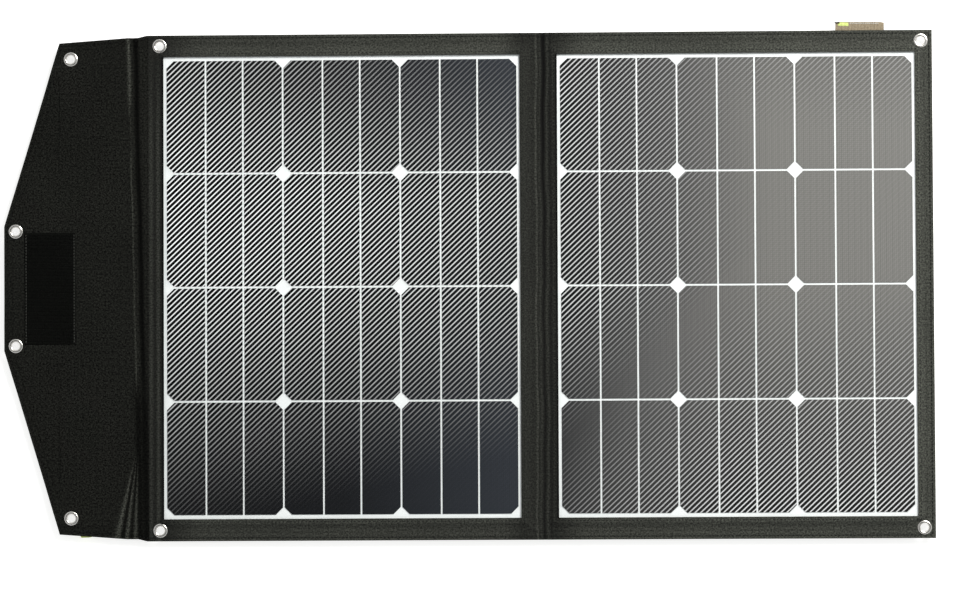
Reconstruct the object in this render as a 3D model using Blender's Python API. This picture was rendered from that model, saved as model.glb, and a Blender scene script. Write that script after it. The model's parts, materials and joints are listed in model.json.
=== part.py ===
"""Folding solar panel, laid open with its cells facing up.

Two fabric-bound panels meet at a centre fold, and a trapezoid flap at the left closes over them. Each
panel is a laminate of wafers, each cut in three strips, on a stiff board. It lies on two junction boxes.

Metres, +Z up. The origin is the centre of the object's bounding box, at floor level. +X runs from the flap to
the right panel, and +Y runs up the panels.
"""

import math

import bmesh
import bpy
from mathutils import Matrix, Vector

MM = 0.001

# Wafers and their strips
WAFER = 125 * MM
WAFER_CHAMFER = 8 * MM
MIDDLE_STRIP = 39.7 * MM
STRIP_GAP = 2 * MM
WAFER_GAP_X = 2 * MM
WAFER_GAP_Y = 2.2 * MM
COLUMNS = 3
ROWS = 4
STRIP_TAB = 3 * MM

# Window margins and the cloth borders round each window
MARGIN_X = 3.5 * MM
MARGIN_Y = 4.7 * MM
BORDER_FLAP_SIDE = 25 * MM
BORDER_LEFT_OF_FOLD = 18.5 * MM
BORDER_RIGHT_OF_FOLD = 13 * MM
BORDER_OUTER = 19.5 * MM
LIP_OVERLAP = 3 * MM
COVER_CORNER_RADIUS = 4 * MM
WINDOW_CORNER_RADIUS = 1 * MM
WALL_CORNER_RADIUS = 2 * MM

# Thicknesses, from the floor up
BOX_LID = 1.2 * MM
BOX_HEIGHT = 9 * MM
CLOTH = 0.8 * MM
BOARD = 1.2 * MM
BACKSHEET = 0.4 * MM
CELL = 0.3 * MM
FILM = 0.4 * MM
HOOK_TAPE = 1.5 * MM
LOOP_TAPE = 1.5 * MM
TAG_TAPE = 1.2 * MM

# Clearances
GAP = 0.3 * MM
HINGE_CLEARANCE = 1.3 * MM
FOLDED_GAP = 1.1 * MM
TAPE_CLOSED_GAP = 0.5 * MM

# Closing flap, measured outwards from its hinge axis
FLAP_LENGTH = 138 * MM
FLAP_SHOULDER = 76 * MM
FLAP_ROOT_INSET = 2.5 * MM
FLAP_SHOULDER_INSET = 8 * MM
FLAP_TIP_HALF = 68.6 * MM
FLAP_CORNER_RADIUS = 6 * MM
HOOK_FROM_EYELETS = 2 * MM
HOOK_TAPE_SIZE = (57 * MM, 125 * MM)
LOOP_TAPE_HEIGHT = 130 * MM
TAPE_CORNER_RADIUS = 1 * MM

# Eyelets and where they sit
EYELET_HOLE_RADIUS = 4.5 * MM
EYELET_BARREL_WALL = 0.5 * MM
EYELET_FLANGE = 3 * MM
EYELET_WASHER = 2.2 * MM
EYELET_CROWN = 0.8 * MM
EYELET_SIDES = 20
EYELET_FROM_WALL = 0.4 * MM
EYELET_FROM_END = 4 * MM
EYELET_LEFT_OF_WINDOW = 4.4 * MM
EYELET_RIGHT_OF_WINDOW = 7 * MM
SHOULDER_EYELET = (13 * MM, 18 * MM)
TIP_EYELET = (13 * MM, 4.6 * MM)

# Junction boxes, gland, ribbon and labels
BOX_SIZE = (100 * MM, 62 * MM)
BOX_FROM_WINDOW = 179 * MM
BOX_WALL = 2 * MM
BOX_ROOF = 1.2 * MM
BOX_CORNER_RADIUS = 8 * MM
BOX_EDGE_BEVEL = 0.5 * MM
LID_STEP = 1 * MM
GLAND_LENGTH = 14 * MM
GLAND_FROM_COVER = 0.2 * MM
GLAND_BORE_CLEARANCE = 0.1 * MM
GLAND_TAPER = 0.5 * MM
GLAND_SIDES = 16
RIBBON_WIDTH = 2 * MM
TAG_SIZE = (54 * MM, 24 * MM)
TAG_PROUD = 10 * MM
TAG_FROM_OUTER_EDGE = 53 * MM
TAG_CORNER_RADIUS = 6 * MM
SIDE_TAB_SIZE = (13 * MM, 12 * MM)
SIDE_TAB_PROUD = 2 * MM
SIDE_TAB_FROM_AXIS = 40 * MM

# How finely corners are rounded, and how far cutters run past what they cut
CORNER_STEPS = 3
CUTTER_MARGIN = 5 * MM

# Heights of the layers
BACK_LOW = BOX_HEIGHT + GAP
BACK_HIGH = BACK_LOW + CLOTH
FLANGE_LOW = BACK_HIGH + GAP
FLANGE_HIGH = FLANGE_LOW + CLOTH
BOARD_HIGH = FLANGE_LOW + BOARD
BACKSHEET_LOW = BOARD_HIGH + GAP
BACKSHEET_HIGH = BACKSHEET_LOW + BACKSHEET
CELL_LOW = BACKSHEET_HIGH + GAP
CELL_HIGH = CELL_LOW + CELL
FILM_LOW = CELL_HIGH + GAP
FILM_HIGH = FILM_LOW + FILM
LIP_LOW = FILM_HIGH + GAP
LIP_HIGH = LIP_LOW + CLOTH
HINGE_HEIGHT = (BACK_LOW + FLANGE_HIGH) / 2
HOOK_LOW = FLANGE_HIGH + GAP
HOOK_HIGH = HOOK_LOW + HOOK_TAPE
LOOP_HIGH = BACK_LOW - GAP
LOOP_LOW = LOOP_HIGH - LOOP_TAPE

# The spines are as wide as the folded layers are thick, so that folded faces lie flat on each other.
CENTRE_SPINE = 2 * (LIP_HIGH - HINGE_HEIGHT) + FOLDED_GAP
FLAP_SPINE = CENTRE_SPINE + (HOOK_HIGH - LOOP_LOW) + TAPE_CLOSED_GAP

# Windows and panels
TRIO = WAFER + 2 * STRIP_GAP
PITCH_X = TRIO + WAFER_GAP_X
PITCH_Y = WAFER + WAFER_GAP_Y
WINDOW_X = COLUMNS * PITCH_X - WAFER_GAP_X + 2 * MARGIN_X
WINDOW_Y = ROWS * PITCH_Y - WAFER_GAP_Y + 2 * MARGIN_Y
WALL_IN = LIP_OVERLAP + GAP
WALL_OUT = WALL_IN + CLOTH
EYELET_BARREL_RADIUS = EYELET_HOLE_RADIUS + EYELET_BARREL_WALL
EYELET_RADIUS = EYELET_BARREL_RADIUS + EYELET_FLANGE

# The borders at both ends are as wide as their eyelets need.
EYELET_BEYOND_WINDOW_Y = WALL_OUT + EYELET_FROM_WALL + EYELET_RADIUS
BORDER_ENDS = EYELET_BEYOND_WINDOW_Y + EYELET_RADIUS + EYELET_FROM_END
HALF_Y = WINDOW_Y / 2 + BORDER_ENDS

LEFT_PANEL_X = BORDER_FLAP_SIDE + WINDOW_X + BORDER_LEFT_OF_FOLD
RIGHT_PANEL_X = BORDER_RIGHT_OF_FOLD + WINDOW_X + BORDER_OUTER
LENGTH = FLAP_LENGTH + FLAP_SPINE + LEFT_PANEL_X + CENTRE_SPINE + RIGHT_PANEL_X

# The hook tape stops short of the flap's tip eyelets.
HOOK_FROM_AXIS = FLAP_LENGTH - TIP_EYELET[0] - EYELET_RADIUS - HOOK_FROM_EYELETS - HOOK_TAPE_SIZE[0]

# Places along X, and the place of the middle line along Y
FLAP_AXIS = -LENGTH / 2 + FLAP_LENGTH
FLAP_SPINE_AXIS = FLAP_AXIS + FLAP_SPINE
LEFT_WINDOW = FLAP_SPINE_AXIS + BORDER_FLAP_SIDE
CENTRE_SPINE_AXIS = FLAP_SPINE_AXIS + LEFT_PANEL_X
RIGHT_AXIS = CENTRE_SPINE_AXIS + CENTRE_SPINE
RIGHT_WINDOW = RIGHT_AXIS + BORDER_RIGHT_OF_FOLD
MIDDLE_Y = -TAG_PROUD / 2


def material(name, colour, roughness, metallic=0.0, alpha=1.0):
    """Return a Principled material. The colour is linear."""
    made = bpy.data.materials.new(name)
    made.use_nodes = True
    shader = made.node_tree.nodes["Principled BSDF"]
    shader.inputs["Base Color"].default_value = (*colour, 1.0)
    shader.inputs["Roughness"].default_value = roughness
    shader.inputs["Metallic"].default_value = metallic
    shader.inputs["Alpha"].default_value = alpha
    return made


def add_piece(name, mesh, finish, place, parent):
    """Put a mesh at a place in world space, with its own material, held by a parent empty if it moves."""
    if not mesh.materials:
        mesh.materials.append(None)
    piece = bpy.data.objects.new(name, mesh)
    bpy.context.scene.collection.objects.link(piece)
    piece.material_slots[0].link = "OBJECT"
    piece.material_slots[0].material = finish
    piece.location = Vector(place)
    if parent is not None:
        piece.parent = parent
        piece.matrix_parent_inverse = Matrix.Translation(-parent.location)
    return piece


def add_axis(name, x, parent=None):
    """Return an empty on a hinge line, which runs along Y."""
    axis = bpy.data.objects.new(name, None)
    bpy.context.scene.collection.objects.link(axis)
    axis.location = Vector((x, MIDDLE_Y, HINGE_HEIGHT))
    if parent is not None:
        axis.parent = parent
        axis.matrix_parent_inverse = Matrix.Translation(-parent.location)
    return axis


def filleted(corners, radius):
    """Return a closed outline, counter-clockwise, with each corner rounded by an arc of this radius."""
    outline = []
    for index, corner in enumerate(corners):
        corner = Vector(corner)
        back = (Vector(corners[index - 1]) - corner).normalized()
        ahead = (Vector(corners[(index + 1) % len(corners)]) - corner).normalized()
        half_angle = back.angle(ahead) / 2
        centre = corner + (back + ahead).normalized() * radius / math.sin(half_angle)
        start = corner + back * radius / math.tan(half_angle) - centre
        turn = math.pi - 2 * half_angle
        for step in range(CORNER_STEPS + 1):
            arm = start.copy()
            arm.rotate(Matrix.Rotation(turn * step / CORNER_STEPS, 2))
            outline.append((centre.x + arm.x, centre.y + arm.y))
    return outline


def rectangle(low_x, high_x, half_y, radius):
    """Return a rounded rectangle's outline, which runs from -half_y to half_y."""
    corners = [(low_x, -half_y), (high_x, -half_y), (high_x, half_y), (low_x, half_y)]
    return filleted(corners, radius)


def at_height(outline, height):
    """Lift a flat outline to a height."""
    return [(x, y, height) for x, y in outline]


def skin(name, loops, ring=False):
    """Return a closed mesh through loops of equally many points: a ring if the last loop meets the first,
    or else a solid whose first and last loops are capped."""
    count = len(loops[0])
    points = [point for loop in loops for point in loop]
    faces = []
    for index in range(len(loops) if ring else len(loops) - 1):
        low = index * count
        high = (index + 1) % len(loops) * count
        for here in range(count):
            after = (here + 1) % count
            faces.append((low + here, low + after, high + after, high + here))
    if not ring:
        faces.append(tuple(reversed(range(count))))
        faces.append(tuple(range(len(points) - count, len(points))))
    mesh = bpy.data.meshes.new(name)
    mesh.from_pydata(points, [], faces)
    shell = bmesh.new()
    shell.from_mesh(mesh)
    bmesh.ops.recalc_face_normals(shell, faces=shell.faces)
    shell.to_mesh(mesh)
    shell.free()
    return mesh


def plate(name, outline, low, high):
    """Return a flat sheet's mesh between two heights."""
    return skin(name, [at_height(outline, low), at_height(outline, high)])


def turned(name, profile, sides):
    """Return the ring made by turning a closed profile of (radius, height) points about Z, shaded smooth."""
    loops = []
    for side in range(sides):
        angle = 2 * math.pi * side / sides
        cosine, sine = math.cos(angle), math.sin(angle)
        loops.append([(radius * cosine, radius * sine, height) for radius, height in profile])
    mesh = skin(name, loops, ring=True)
    mesh.shade_smooth()
    mesh.set_sharp_from_angle(angle=math.radians(40))
    return mesh


def round_cutter(name, radius, sides, half_length, place, parent, along_x=False):
    """Return a hidden round bar that cuts holes, along Z or along X."""
    angles = [2 * math.pi * side / sides for side in range(sides)]
    bar = [(radius * math.cos(angle), radius * math.sin(angle)) for angle in angles]
    mesh = plate(name, bar, -half_length, half_length)
    if along_x:
        mesh.transform(Matrix.Rotation(math.pi / 2, 4, "Y"))
    cutter = add_piece(name, mesh, None, place, parent)
    cutter.hide_render = True
    cutter.display_type = "WIRE"
    return cutter


def cut(piece, cutter):
    """Cut a piece with an exact Boolean."""
    boolean = piece.modifiers.new(cutter.name, "BOOLEAN")
    boolean.operation = "DIFFERENCE"
    boolean.solver = "EXACT"
    boolean.object = cutter


def wafer_outline():
    """Return one wafer's outline about its centre: three strips joined by a tab across each gap, with the
    wafer's own four corners chamfered."""
    half_x = TRIO / 2
    half_y = WAFER / 2
    middle = MIDDLE_STRIP / 2
    inner = middle + STRIP_GAP
    lower_half = [
        (-half_x, -half_y + WAFER_CHAMFER),
        (-half_x + WAFER_CHAMFER, -half_y),
        (-inner, -half_y),
        (-inner, -STRIP_TAB / 2),
        (-middle, -STRIP_TAB / 2),
        (-middle, -half_y),
        (middle, -half_y),
        (middle, -STRIP_TAB / 2),
        (inner, -STRIP_TAB / 2),
        (inner, -half_y),
        (half_x - WAFER_CHAMFER, -half_y),
        (half_x, -half_y + WAFER_CHAMFER),
    ]
    return lower_half + [(-x, -y) for x, y in lower_half]


def eyelet_mesh():
    """Return an eyelet: a crowned flange in front, a barrel through the cloth and a flat washer behind. Its
    height 0 is the middle of the cloth."""
    cloth = (FLANGE_HIGH - BACK_LOW) / 2 + GAP
    front = cloth + EYELET_CROWN
    back = -cloth - EYELET_CROWN
    washer = EYELET_BARREL_RADIUS + EYELET_WASHER
    profile = [
        (EYELET_HOLE_RADIUS, back),
        (washer, back),
        (washer, -cloth),
        (EYELET_BARREL_RADIUS, -cloth),
        (EYELET_BARREL_RADIUS, cloth),
        (EYELET_RADIUS - EYELET_BARREL_WALL / 2, cloth),
        (EYELET_RADIUS, cloth + EYELET_CROWN / 3),
        (EYELET_RADIUS - EYELET_BARREL_WALL, front),
        (EYELET_BARREL_RADIUS + EYELET_BARREL_WALL / 2, front),
        (EYELET_HOLE_RADIUS, front - EYELET_CROWN / 2),
    ]
    return turned("eyelet", profile, EYELET_SIDES)


def add_eyelet(name, mesh, x, y, sheets, parent):
    """Set an eyelet in the cloth and cut its hole through the sheets that it joins."""
    place = (x, MIDDLE_Y + y, HINGE_HEIGHT)
    hole = EYELET_BARREL_RADIUS + GAP
    thickness = FLANGE_HIGH - BACK_LOW + CUTTER_MARGIN
    cutter = round_cutter(name + "_hole", hole, EYELET_SIDES, thickness, place, parent)
    for sheet in sheets:
        cut(sheet, cutter)
    add_piece(name, mesh, material(name, (0.72, 0.71, 0.68), 0.25, metallic=1.0), place, parent)


def add_sheet(name, outline, low, high, finish, parent):
    """Put a flat sheet, given by its outline about the middle line, between two heights."""
    return add_piece(name, plate(name, outline, low, high), finish, (0, MIDDLE_Y, 0), parent)


def border_mesh(name, window, cover):
    """Return the cloth border of one panel: a lip over the film, a wall down its edge and a flange that lies
    on the back cover. Both outlines are given as (low x, high x)."""
    low, high = window
    half_y = WINDOW_Y / 2
    opening = rectangle(low, high, half_y, WINDOW_CORNER_RADIUS)
    wall_out = rectangle(low - WALL_OUT, high + WALL_OUT, half_y + WALL_OUT, WALL_CORNER_RADIUS)
    wall_in = rectangle(low - WALL_IN, high + WALL_IN, half_y + WALL_IN, WINDOW_CORNER_RADIUS)
    edge = rectangle(*cover, HALF_Y, COVER_CORNER_RADIUS)
    loops = [
        at_height(opening, LIP_LOW),
        at_height(opening, LIP_HIGH),
        at_height(wall_out, LIP_HIGH),
        at_height(wall_out, FLANGE_HIGH),
        at_height(edge, FLANGE_HIGH),
        at_height(edge, FLANGE_LOW),
        at_height(wall_in, FLANGE_LOW),
        at_height(wall_in, LIP_LOW),
    ]
    return skin(name, loops, ring=True)


def add_laminate(side, window, parent):
    """Make the layers that the border holds: board, backsheet, wafers, collecting ribbon and front film."""
    low, high = window
    half_y = WINDOW_Y / 2 + LIP_OVERLAP
    sheet = rectangle(low - LIP_OVERLAP, high + LIP_OVERLAP, half_y, WINDOW_CORNER_RADIUS)
    board = material(side + "_board", (0.05, 0.05, 0.05), 0.7)
    add_sheet(side + "_core_board", sheet, FLANGE_LOW, BOARD_HIGH, board, parent)
    white = material(side + "_backsheet", (0.87, 0.88, 0.87), 0.5)
    add_sheet(side + "_backsheet", sheet, BACKSHEET_LOW, BACKSHEET_HIGH, white, parent)
    film = material(side + "_film", (0.9, 0.9, 0.9), 0.15, alpha=0.15)
    add_sheet(side + "_front_film", sheet, FILM_LOW, FILM_HIGH, film, parent)

    wafer = plate(side + "_wafer", wafer_outline(), CELL_LOW, CELL_HIGH)
    for row in range(ROWS):
        for column in range(COLUMNS):
            x = low + MARGIN_X + TRIO / 2 + column * PITCH_X
            y = MIDDLE_Y + WINDOW_Y / 2 - MARGIN_Y - WAFER / 2 - row * PITCH_Y
            name = f"{side}_wafer_{row + 1}_{column + 1}"
            add_piece(name, wafer, material(name, (0.02, 0.025, 0.03), 0.3), (x, y, 0), parent)

    ribbon_y = -WINDOW_Y / 2 - LIP_OVERLAP / 2
    corners = [
        (low, ribbon_y - RIBBON_WIDTH / 2),
        (high, ribbon_y - RIBBON_WIDTH / 2),
        (high, ribbon_y + RIBBON_WIDTH / 2),
        (low, ribbon_y + RIBBON_WIDTH / 2),
    ]
    tin = material(side + "_ribbon", (0.75, 0.75, 0.74), 0.35, metallic=1.0)
    add_sheet(side + "_bus_ribbon", corners, CELL_LOW, CELL_HIGH, tin, parent)


def inset_box_outline(inset):
    """Return the junction box's rounded outline about its centre, moved in by this much."""
    half_x = BOX_SIZE[0] / 2 - inset
    return rectangle(-half_x, half_x, BOX_SIZE[1] / 2 - inset, BOX_CORNER_RADIUS - inset)


def add_junction_box(side, x, parent):
    """Make a junction box: a tray under the back cover, and a lid with a step that locates inside it."""
    tray_low = BOX_LID + GAP
    outside = inset_box_outline(0)
    foot = inset_box_outline(BOX_EDGE_BEVEL)
    step = inset_box_outline(BOX_WALL + GAP)
    inside = inset_box_outline(BOX_WALL)
    tray_loops = [
        at_height(inside, BOX_HEIGHT - BOX_ROOF),
        at_height(inside, tray_low),
        at_height(outside, tray_low),
        at_height(outside, BOX_HEIGHT),
    ]
    lid_loops = [
        at_height(foot, 0),
        at_height(outside, BOX_EDGE_BEVEL),
        at_height(outside, BOX_LID),
        at_height(step, BOX_LID),
        at_height(step, BOX_LID + LID_STEP),
    ]
    place = (x, MIDDLE_Y, 0)
    tray_name = side + "_junction_box"
    lid_name = side + "_junction_lid"
    tray_plastic = material(tray_name, (0.02, 0.02, 0.02), 0.5)
    lid_plastic = material(lid_name, (0.02, 0.02, 0.02), 0.5)
    add_piece(lid_name, skin(lid_name, lid_loops), lid_plastic, place, parent)
    return add_piece(tray_name, skin(tray_name, tray_loops), tray_plastic, place, parent)


def add_gland(tray, x, parent):
    """Make the output lead's gland on the tray's side nearest the flap, and bore the tray's wall for it."""
    tray_low = BOX_LID + GAP
    roof = BOX_HEIGHT - BOX_ROOF
    height = (tray_low + roof) / 2
    bore = (roof - tray_low) / 2 - GLAND_BORE_CLEARANCE
    base = BACK_LOW - GAP - height - GLAND_FROM_COVER
    profile = [
        (bore, 0),
        (base, 0),
        (base, GLAND_LENGTH / 3),
        (base - GLAND_TAPER, GLAND_LENGTH),
        (bore, GLAND_LENGTH),
    ]
    mesh = turned("cable_gland", profile, GLAND_SIDES)
    mesh.transform(Matrix.Rotation(-math.pi / 2, 4, "Y"))
    wall = x - BOX_SIZE[0] / 2
    rubber = material("cable_gland", (0.015, 0.015, 0.015), 0.6)
    add_piece("cable_gland", mesh, rubber, (wall - GAP, MIDDLE_Y, height), parent)
    place = (wall, MIDDLE_Y, height)
    half_length = BOX_WALL + CUTTER_MARGIN
    cut(tray, round_cutter("gland_bore", bore, GLAND_SIDES, half_length, place, parent, along_x=True))


def add_panel(side, window, cover, eyelet_x, eyelet, box_x, parent):
    """Make one panel: its two cloths, laminate, eyelets and junction box. Return the junction box's tray."""
    edge = rectangle(*cover, HALF_Y, COVER_CORNER_RADIUS)
    cloth = (0.03, 0.03, 0.026)
    back_cloth = material(side + "_back_cloth", cloth, 0.9)
    back = add_sheet(side + "_back_cover", edge, BACK_LOW, BACK_HIGH, back_cloth, parent)
    name = side + "_front_border"
    mesh = border_mesh(name, window, cover)
    border = add_piece(name, mesh, material(name, cloth, 0.9), (0, MIDDLE_Y, 0), parent)
    add_laminate(side, window, parent)
    eyelet_y = WINDOW_Y / 2 + EYELET_BEYOND_WINDOW_Y
    add_eyelet(side + "_eyelet_top", eyelet, eyelet_x, eyelet_y, (back, border), parent)
    add_eyelet(side + "_eyelet_bottom", eyelet, eyelet_x, -eyelet_y, (back, border), parent)
    return add_junction_box(side, box_x, parent)


def add_spine(name, low_x, high_x, half_y, parent):
    """Make the strip of cloth between two hinge lines, with running clearance at each."""
    low_x += HINGE_CLEARANCE
    high_x -= HINGE_CLEARANCE
    corners = [(low_x, -half_y), (high_x, -half_y), (high_x, half_y), (low_x, half_y)]
    finish = material(name, (0.025, 0.025, 0.022), 0.9)
    add_sheet(name, corners, BACK_LOW, FLANGE_HIGH, finish, parent)


def add_flap(eyelet, parent):
    """Make the closing flap: outer cloth, lining, hook tape, side tab and four eyelets."""
    root_half = HALF_Y - FLAP_ROOT_INSET
    shoulder_half = HALF_Y - FLAP_SHOULDER_INSET
    root = FLAP_AXIS - HINGE_CLEARANCE
    shoulder = FLAP_AXIS - FLAP_SHOULDER
    tip = FLAP_AXIS - FLAP_LENGTH
    corners = [
        (root, -root_half),
        (root, root_half),
        (shoulder, shoulder_half),
        (tip, FLAP_TIP_HALF),
        (tip, -FLAP_TIP_HALF),
        (shoulder, -shoulder_half),
    ]
    outline = filleted(corners, FLAP_CORNER_RADIUS)
    outer_cloth = material("flap_outer", (0.02, 0.02, 0.02), 0.9)
    outer = add_sheet("flap_outer", outline, BACK_LOW, BACK_HIGH, outer_cloth, parent)
    lining_cloth = material("flap_lining", (0.02, 0.02, 0.02), 0.9)
    lining = add_sheet("flap_lining", outline, FLANGE_LOW, FLANGE_HIGH, lining_cloth, parent)

    hook_x = FLAP_AXIS - HOOK_FROM_AXIS
    hook = rectangle(hook_x - HOOK_TAPE_SIZE[0], hook_x, HOOK_TAPE_SIZE[1] / 2, TAPE_CORNER_RADIUS)
    hook_tape = material("hook_patch", (0.005, 0.005, 0.005), 0.8)
    add_sheet("hook_patch", hook, HOOK_LOW, HOOK_HIGH, hook_tape, parent)

    tab_x = FLAP_AXIS - SIDE_TAB_FROM_AXIS - SIDE_TAB_SIZE[0]
    slope = (root_half - shoulder_half) / (root - shoulder)
    tab_y = -(shoulder_half + slope * (tab_x - shoulder)) - SIDE_TAB_PROUD
    side_tab = [
        (tab_x, tab_y),
        (tab_x + SIDE_TAB_SIZE[0], tab_y),
        (tab_x + SIDE_TAB_SIZE[0], tab_y + SIDE_TAB_SIZE[1]),
        (tab_x, tab_y + SIDE_TAB_SIZE[1]),
    ]
    tape = material("flap_side_tab", (0.25, 0.45, 0.05), 0.8)
    add_sheet("flap_side_tab", side_tab, BACK_LOW - GAP - CLOTH, BACK_LOW - GAP, tape, parent)

    for where, sign in (("top", 1), ("bottom", -1)):
        x = shoulder + SHOULDER_EYELET[0]
        y = sign * (shoulder_half - SHOULDER_EYELET[1])
        add_eyelet("flap_eyelet_shoulder_" + where, eyelet, x, y, (outer, lining), parent)
        x = tip + TIP_EYELET[0]
        y = sign * (FLAP_TIP_HALF - TIP_EYELET[1])
        add_eyelet("flap_eyelet_tip_" + where, eyelet, x, y, (outer, lining), parent)


def add_loop_patch(parent):
    """Make the loop tape where the folded flap's hook tape lands, on the right panel's back."""
    far = RIGHT_AXIS + CENTRE_SPINE_AXIS - FLAP_SPINE_AXIS - HOOK_FROM_AXIS
    outline = rectangle(far - HOOK_TAPE_SIZE[0], far, LOOP_TAPE_HEIGHT / 2, TAPE_CORNER_RADIUS)
    loop_tape = material("loop_patch", (0.01, 0.01, 0.01), 0.95)
    add_sheet("loop_patch", outline, LOOP_LOW, LOOP_HIGH, loop_tape, parent)


def add_hang_tag(parent):
    """Make the woven tag sewn behind the right panel's upper edge, with its corners rounded."""
    high_x = LENGTH / 2 - TAG_FROM_OUTER_EDGE
    low_x = high_x - TAG_SIZE[0]
    high_y = HALF_Y + TAG_PROUD
    low_y = high_y - TAG_SIZE[1]
    corners = [(low_x, low_y), (high_x, low_y), (high_x, high_y), (low_x, high_y)]
    outline = filleted(corners, TAG_CORNER_RADIUS)
    tape = material("hang_tag", (0.35, 0.3, 0.2), 0.85)
    add_sheet("hang_tag", outline, LOOP_HIGH - TAG_TAPE, LOOP_HIGH, tape, parent)


def main():
    """Clear the scene and build the folding panel."""
    for old in list(bpy.data.objects):
        bpy.data.objects.remove(old)
    centre_spine = add_axis("centre_spine_axis", CENTRE_SPINE_AXIS)
    right_panel = add_axis("right_panel_axis", RIGHT_AXIS, centre_spine)
    flap_spine = add_axis("flap_spine_axis", FLAP_SPINE_AXIS)
    flap = add_axis("flap_axis", FLAP_AXIS, flap_spine)
    eyelet = eyelet_mesh()

    window = (LEFT_WINDOW, LEFT_WINDOW + WINDOW_X)
    cover = (FLAP_SPINE_AXIS + HINGE_CLEARANCE, CENTRE_SPINE_AXIS - HINGE_CLEARANCE)
    box_x = window[1] - BOX_FROM_WINDOW
    tray = add_panel("left", window, cover, window[0] - EYELET_LEFT_OF_WINDOW, eyelet, box_x, None)
    add_gland(tray, box_x, None)

    window = (RIGHT_WINDOW, RIGHT_WINDOW + WINDOW_X)
    cover = (RIGHT_AXIS + HINGE_CLEARANCE, LENGTH / 2)
    box_x = window[0] + BOX_FROM_WINDOW
    add_panel("right", window, cover, window[1] + EYELET_RIGHT_OF_WINDOW, eyelet, box_x, right_panel)
    add_loop_patch(right_panel)
    add_hang_tag(right_panel)

    add_spine("centre_spine_strip", CENTRE_SPINE_AXIS, RIGHT_AXIS, HALF_Y, centre_spine)
    add_spine("flap_spine_strip", FLAP_AXIS, FLAP_SPINE_AXIS, HALF_Y - FLAP_ROOT_INSET, flap_spine)
    add_flap(eyelet, flap)


main()
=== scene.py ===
"""Looks of a folding fabric solar panel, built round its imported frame.

Two stiff laminates sit behind sewn cloth borders, a soft fold joins the two, and a trapezoid flap closes
them. The frame gives every size and place. Each class below holds one sub-assembly: its sizes, the
surfaces that it makes from them, and the finishes that it puts on. All lengths in the code are metres
unless a name ends in _mm.
"""

import json
import logging
import math
from dataclasses import dataclass, field
from enum import Enum

import bpy
import numpy as np
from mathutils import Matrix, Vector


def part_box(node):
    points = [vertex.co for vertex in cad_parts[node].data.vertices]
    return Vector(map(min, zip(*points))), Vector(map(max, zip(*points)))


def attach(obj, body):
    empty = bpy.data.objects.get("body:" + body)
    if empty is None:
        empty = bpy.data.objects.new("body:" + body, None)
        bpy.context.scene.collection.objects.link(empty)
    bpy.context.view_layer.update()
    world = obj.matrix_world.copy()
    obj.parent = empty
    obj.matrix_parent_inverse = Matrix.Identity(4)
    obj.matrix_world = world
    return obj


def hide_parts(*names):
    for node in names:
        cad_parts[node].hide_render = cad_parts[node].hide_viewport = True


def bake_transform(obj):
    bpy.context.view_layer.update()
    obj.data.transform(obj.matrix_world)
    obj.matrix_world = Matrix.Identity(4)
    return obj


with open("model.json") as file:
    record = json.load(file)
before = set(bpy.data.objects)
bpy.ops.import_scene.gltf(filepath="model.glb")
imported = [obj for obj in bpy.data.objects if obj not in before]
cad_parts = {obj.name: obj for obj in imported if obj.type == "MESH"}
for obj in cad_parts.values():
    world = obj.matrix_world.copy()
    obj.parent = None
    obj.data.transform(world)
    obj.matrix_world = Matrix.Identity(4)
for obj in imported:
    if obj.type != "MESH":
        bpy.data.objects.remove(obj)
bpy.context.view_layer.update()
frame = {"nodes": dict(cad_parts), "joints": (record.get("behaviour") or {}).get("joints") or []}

MM = 0.001
# A smooth piece's edges stay sharp where they bend by more than this.
SHARP_DEGREES = 38.0
# A wave texture of scale 1 repeats after this many metres.
WAVE_PERIOD = 0.314
LOG = logging.getLogger("solar_panel")

Array = np.ndarray
Socket = bpy.types.NodeSocket
Thing = bpy.types.Object


class Side(Enum):
    """Which of the two panels a piece belongs to."""

    LEFT = "left"
    RIGHT = "right"


# ---------------------------------------------------------------------------------------------------------
# Shapes
# ---------------------------------------------------------------------------------------------------------


def ease(value: Array, low: float, high: float) -> Array:
    """Rises smoothly from 0 at low to 1 at high: with t the share of the way, clamped, it is t squared
    times 3 - 2t.

    Args:
        value: Where to read it.
        low: The value at which it leaves 0.
        high: The value at which it reaches 1. It may be the lower of the two, and then it falls.

    Returns:
        The eased share at each value.
    """
    t = np.clip((value - low) / (high - low), 0.0, 1.0)
    return t * t * (3.0 - 2.0 * t)


def hump(value: Array, centre: float | Array, width: float) -> Array:
    """A bell of height 1: e to the power of minus the square of the distance from centre over width."""
    return np.exp(-(((value - centre) / width) ** 2))


def ripple(x: Array, y: Array, seed: int, longest: float, shortest: float, count: int = 14) -> Array:
    """Uneven ground between about -1 and 1: the sum of plane sine waves whose lengths and headings are
    drawn from a seed.

    Args:
        x: Where to read it, along X.
        y: Where to read it, along Y.
        seed: The draw's seed, so that each run is the same.
        longest: The longest wave.
        shortest: The shortest wave.
        count: How many waves are added.

    Returns:
        The height at each point, in shares of its usual greatest height.
    """
    draw = np.random.default_rng(seed)
    total = np.zeros(np.broadcast(x, y).shape)
    for turn, phase, share in draw.uniform(0.0, 1.0, (count, 3)):
        length = longest * (shortest / longest) ** share
        heading = math.pi * turn
        wave = (x * math.cos(heading) + y * math.sin(heading)) / length + phase
        total = total + np.sin(2.0 * math.pi * wave) * (length / longest) ** 0.5
    return total / math.sqrt(count)


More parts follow.
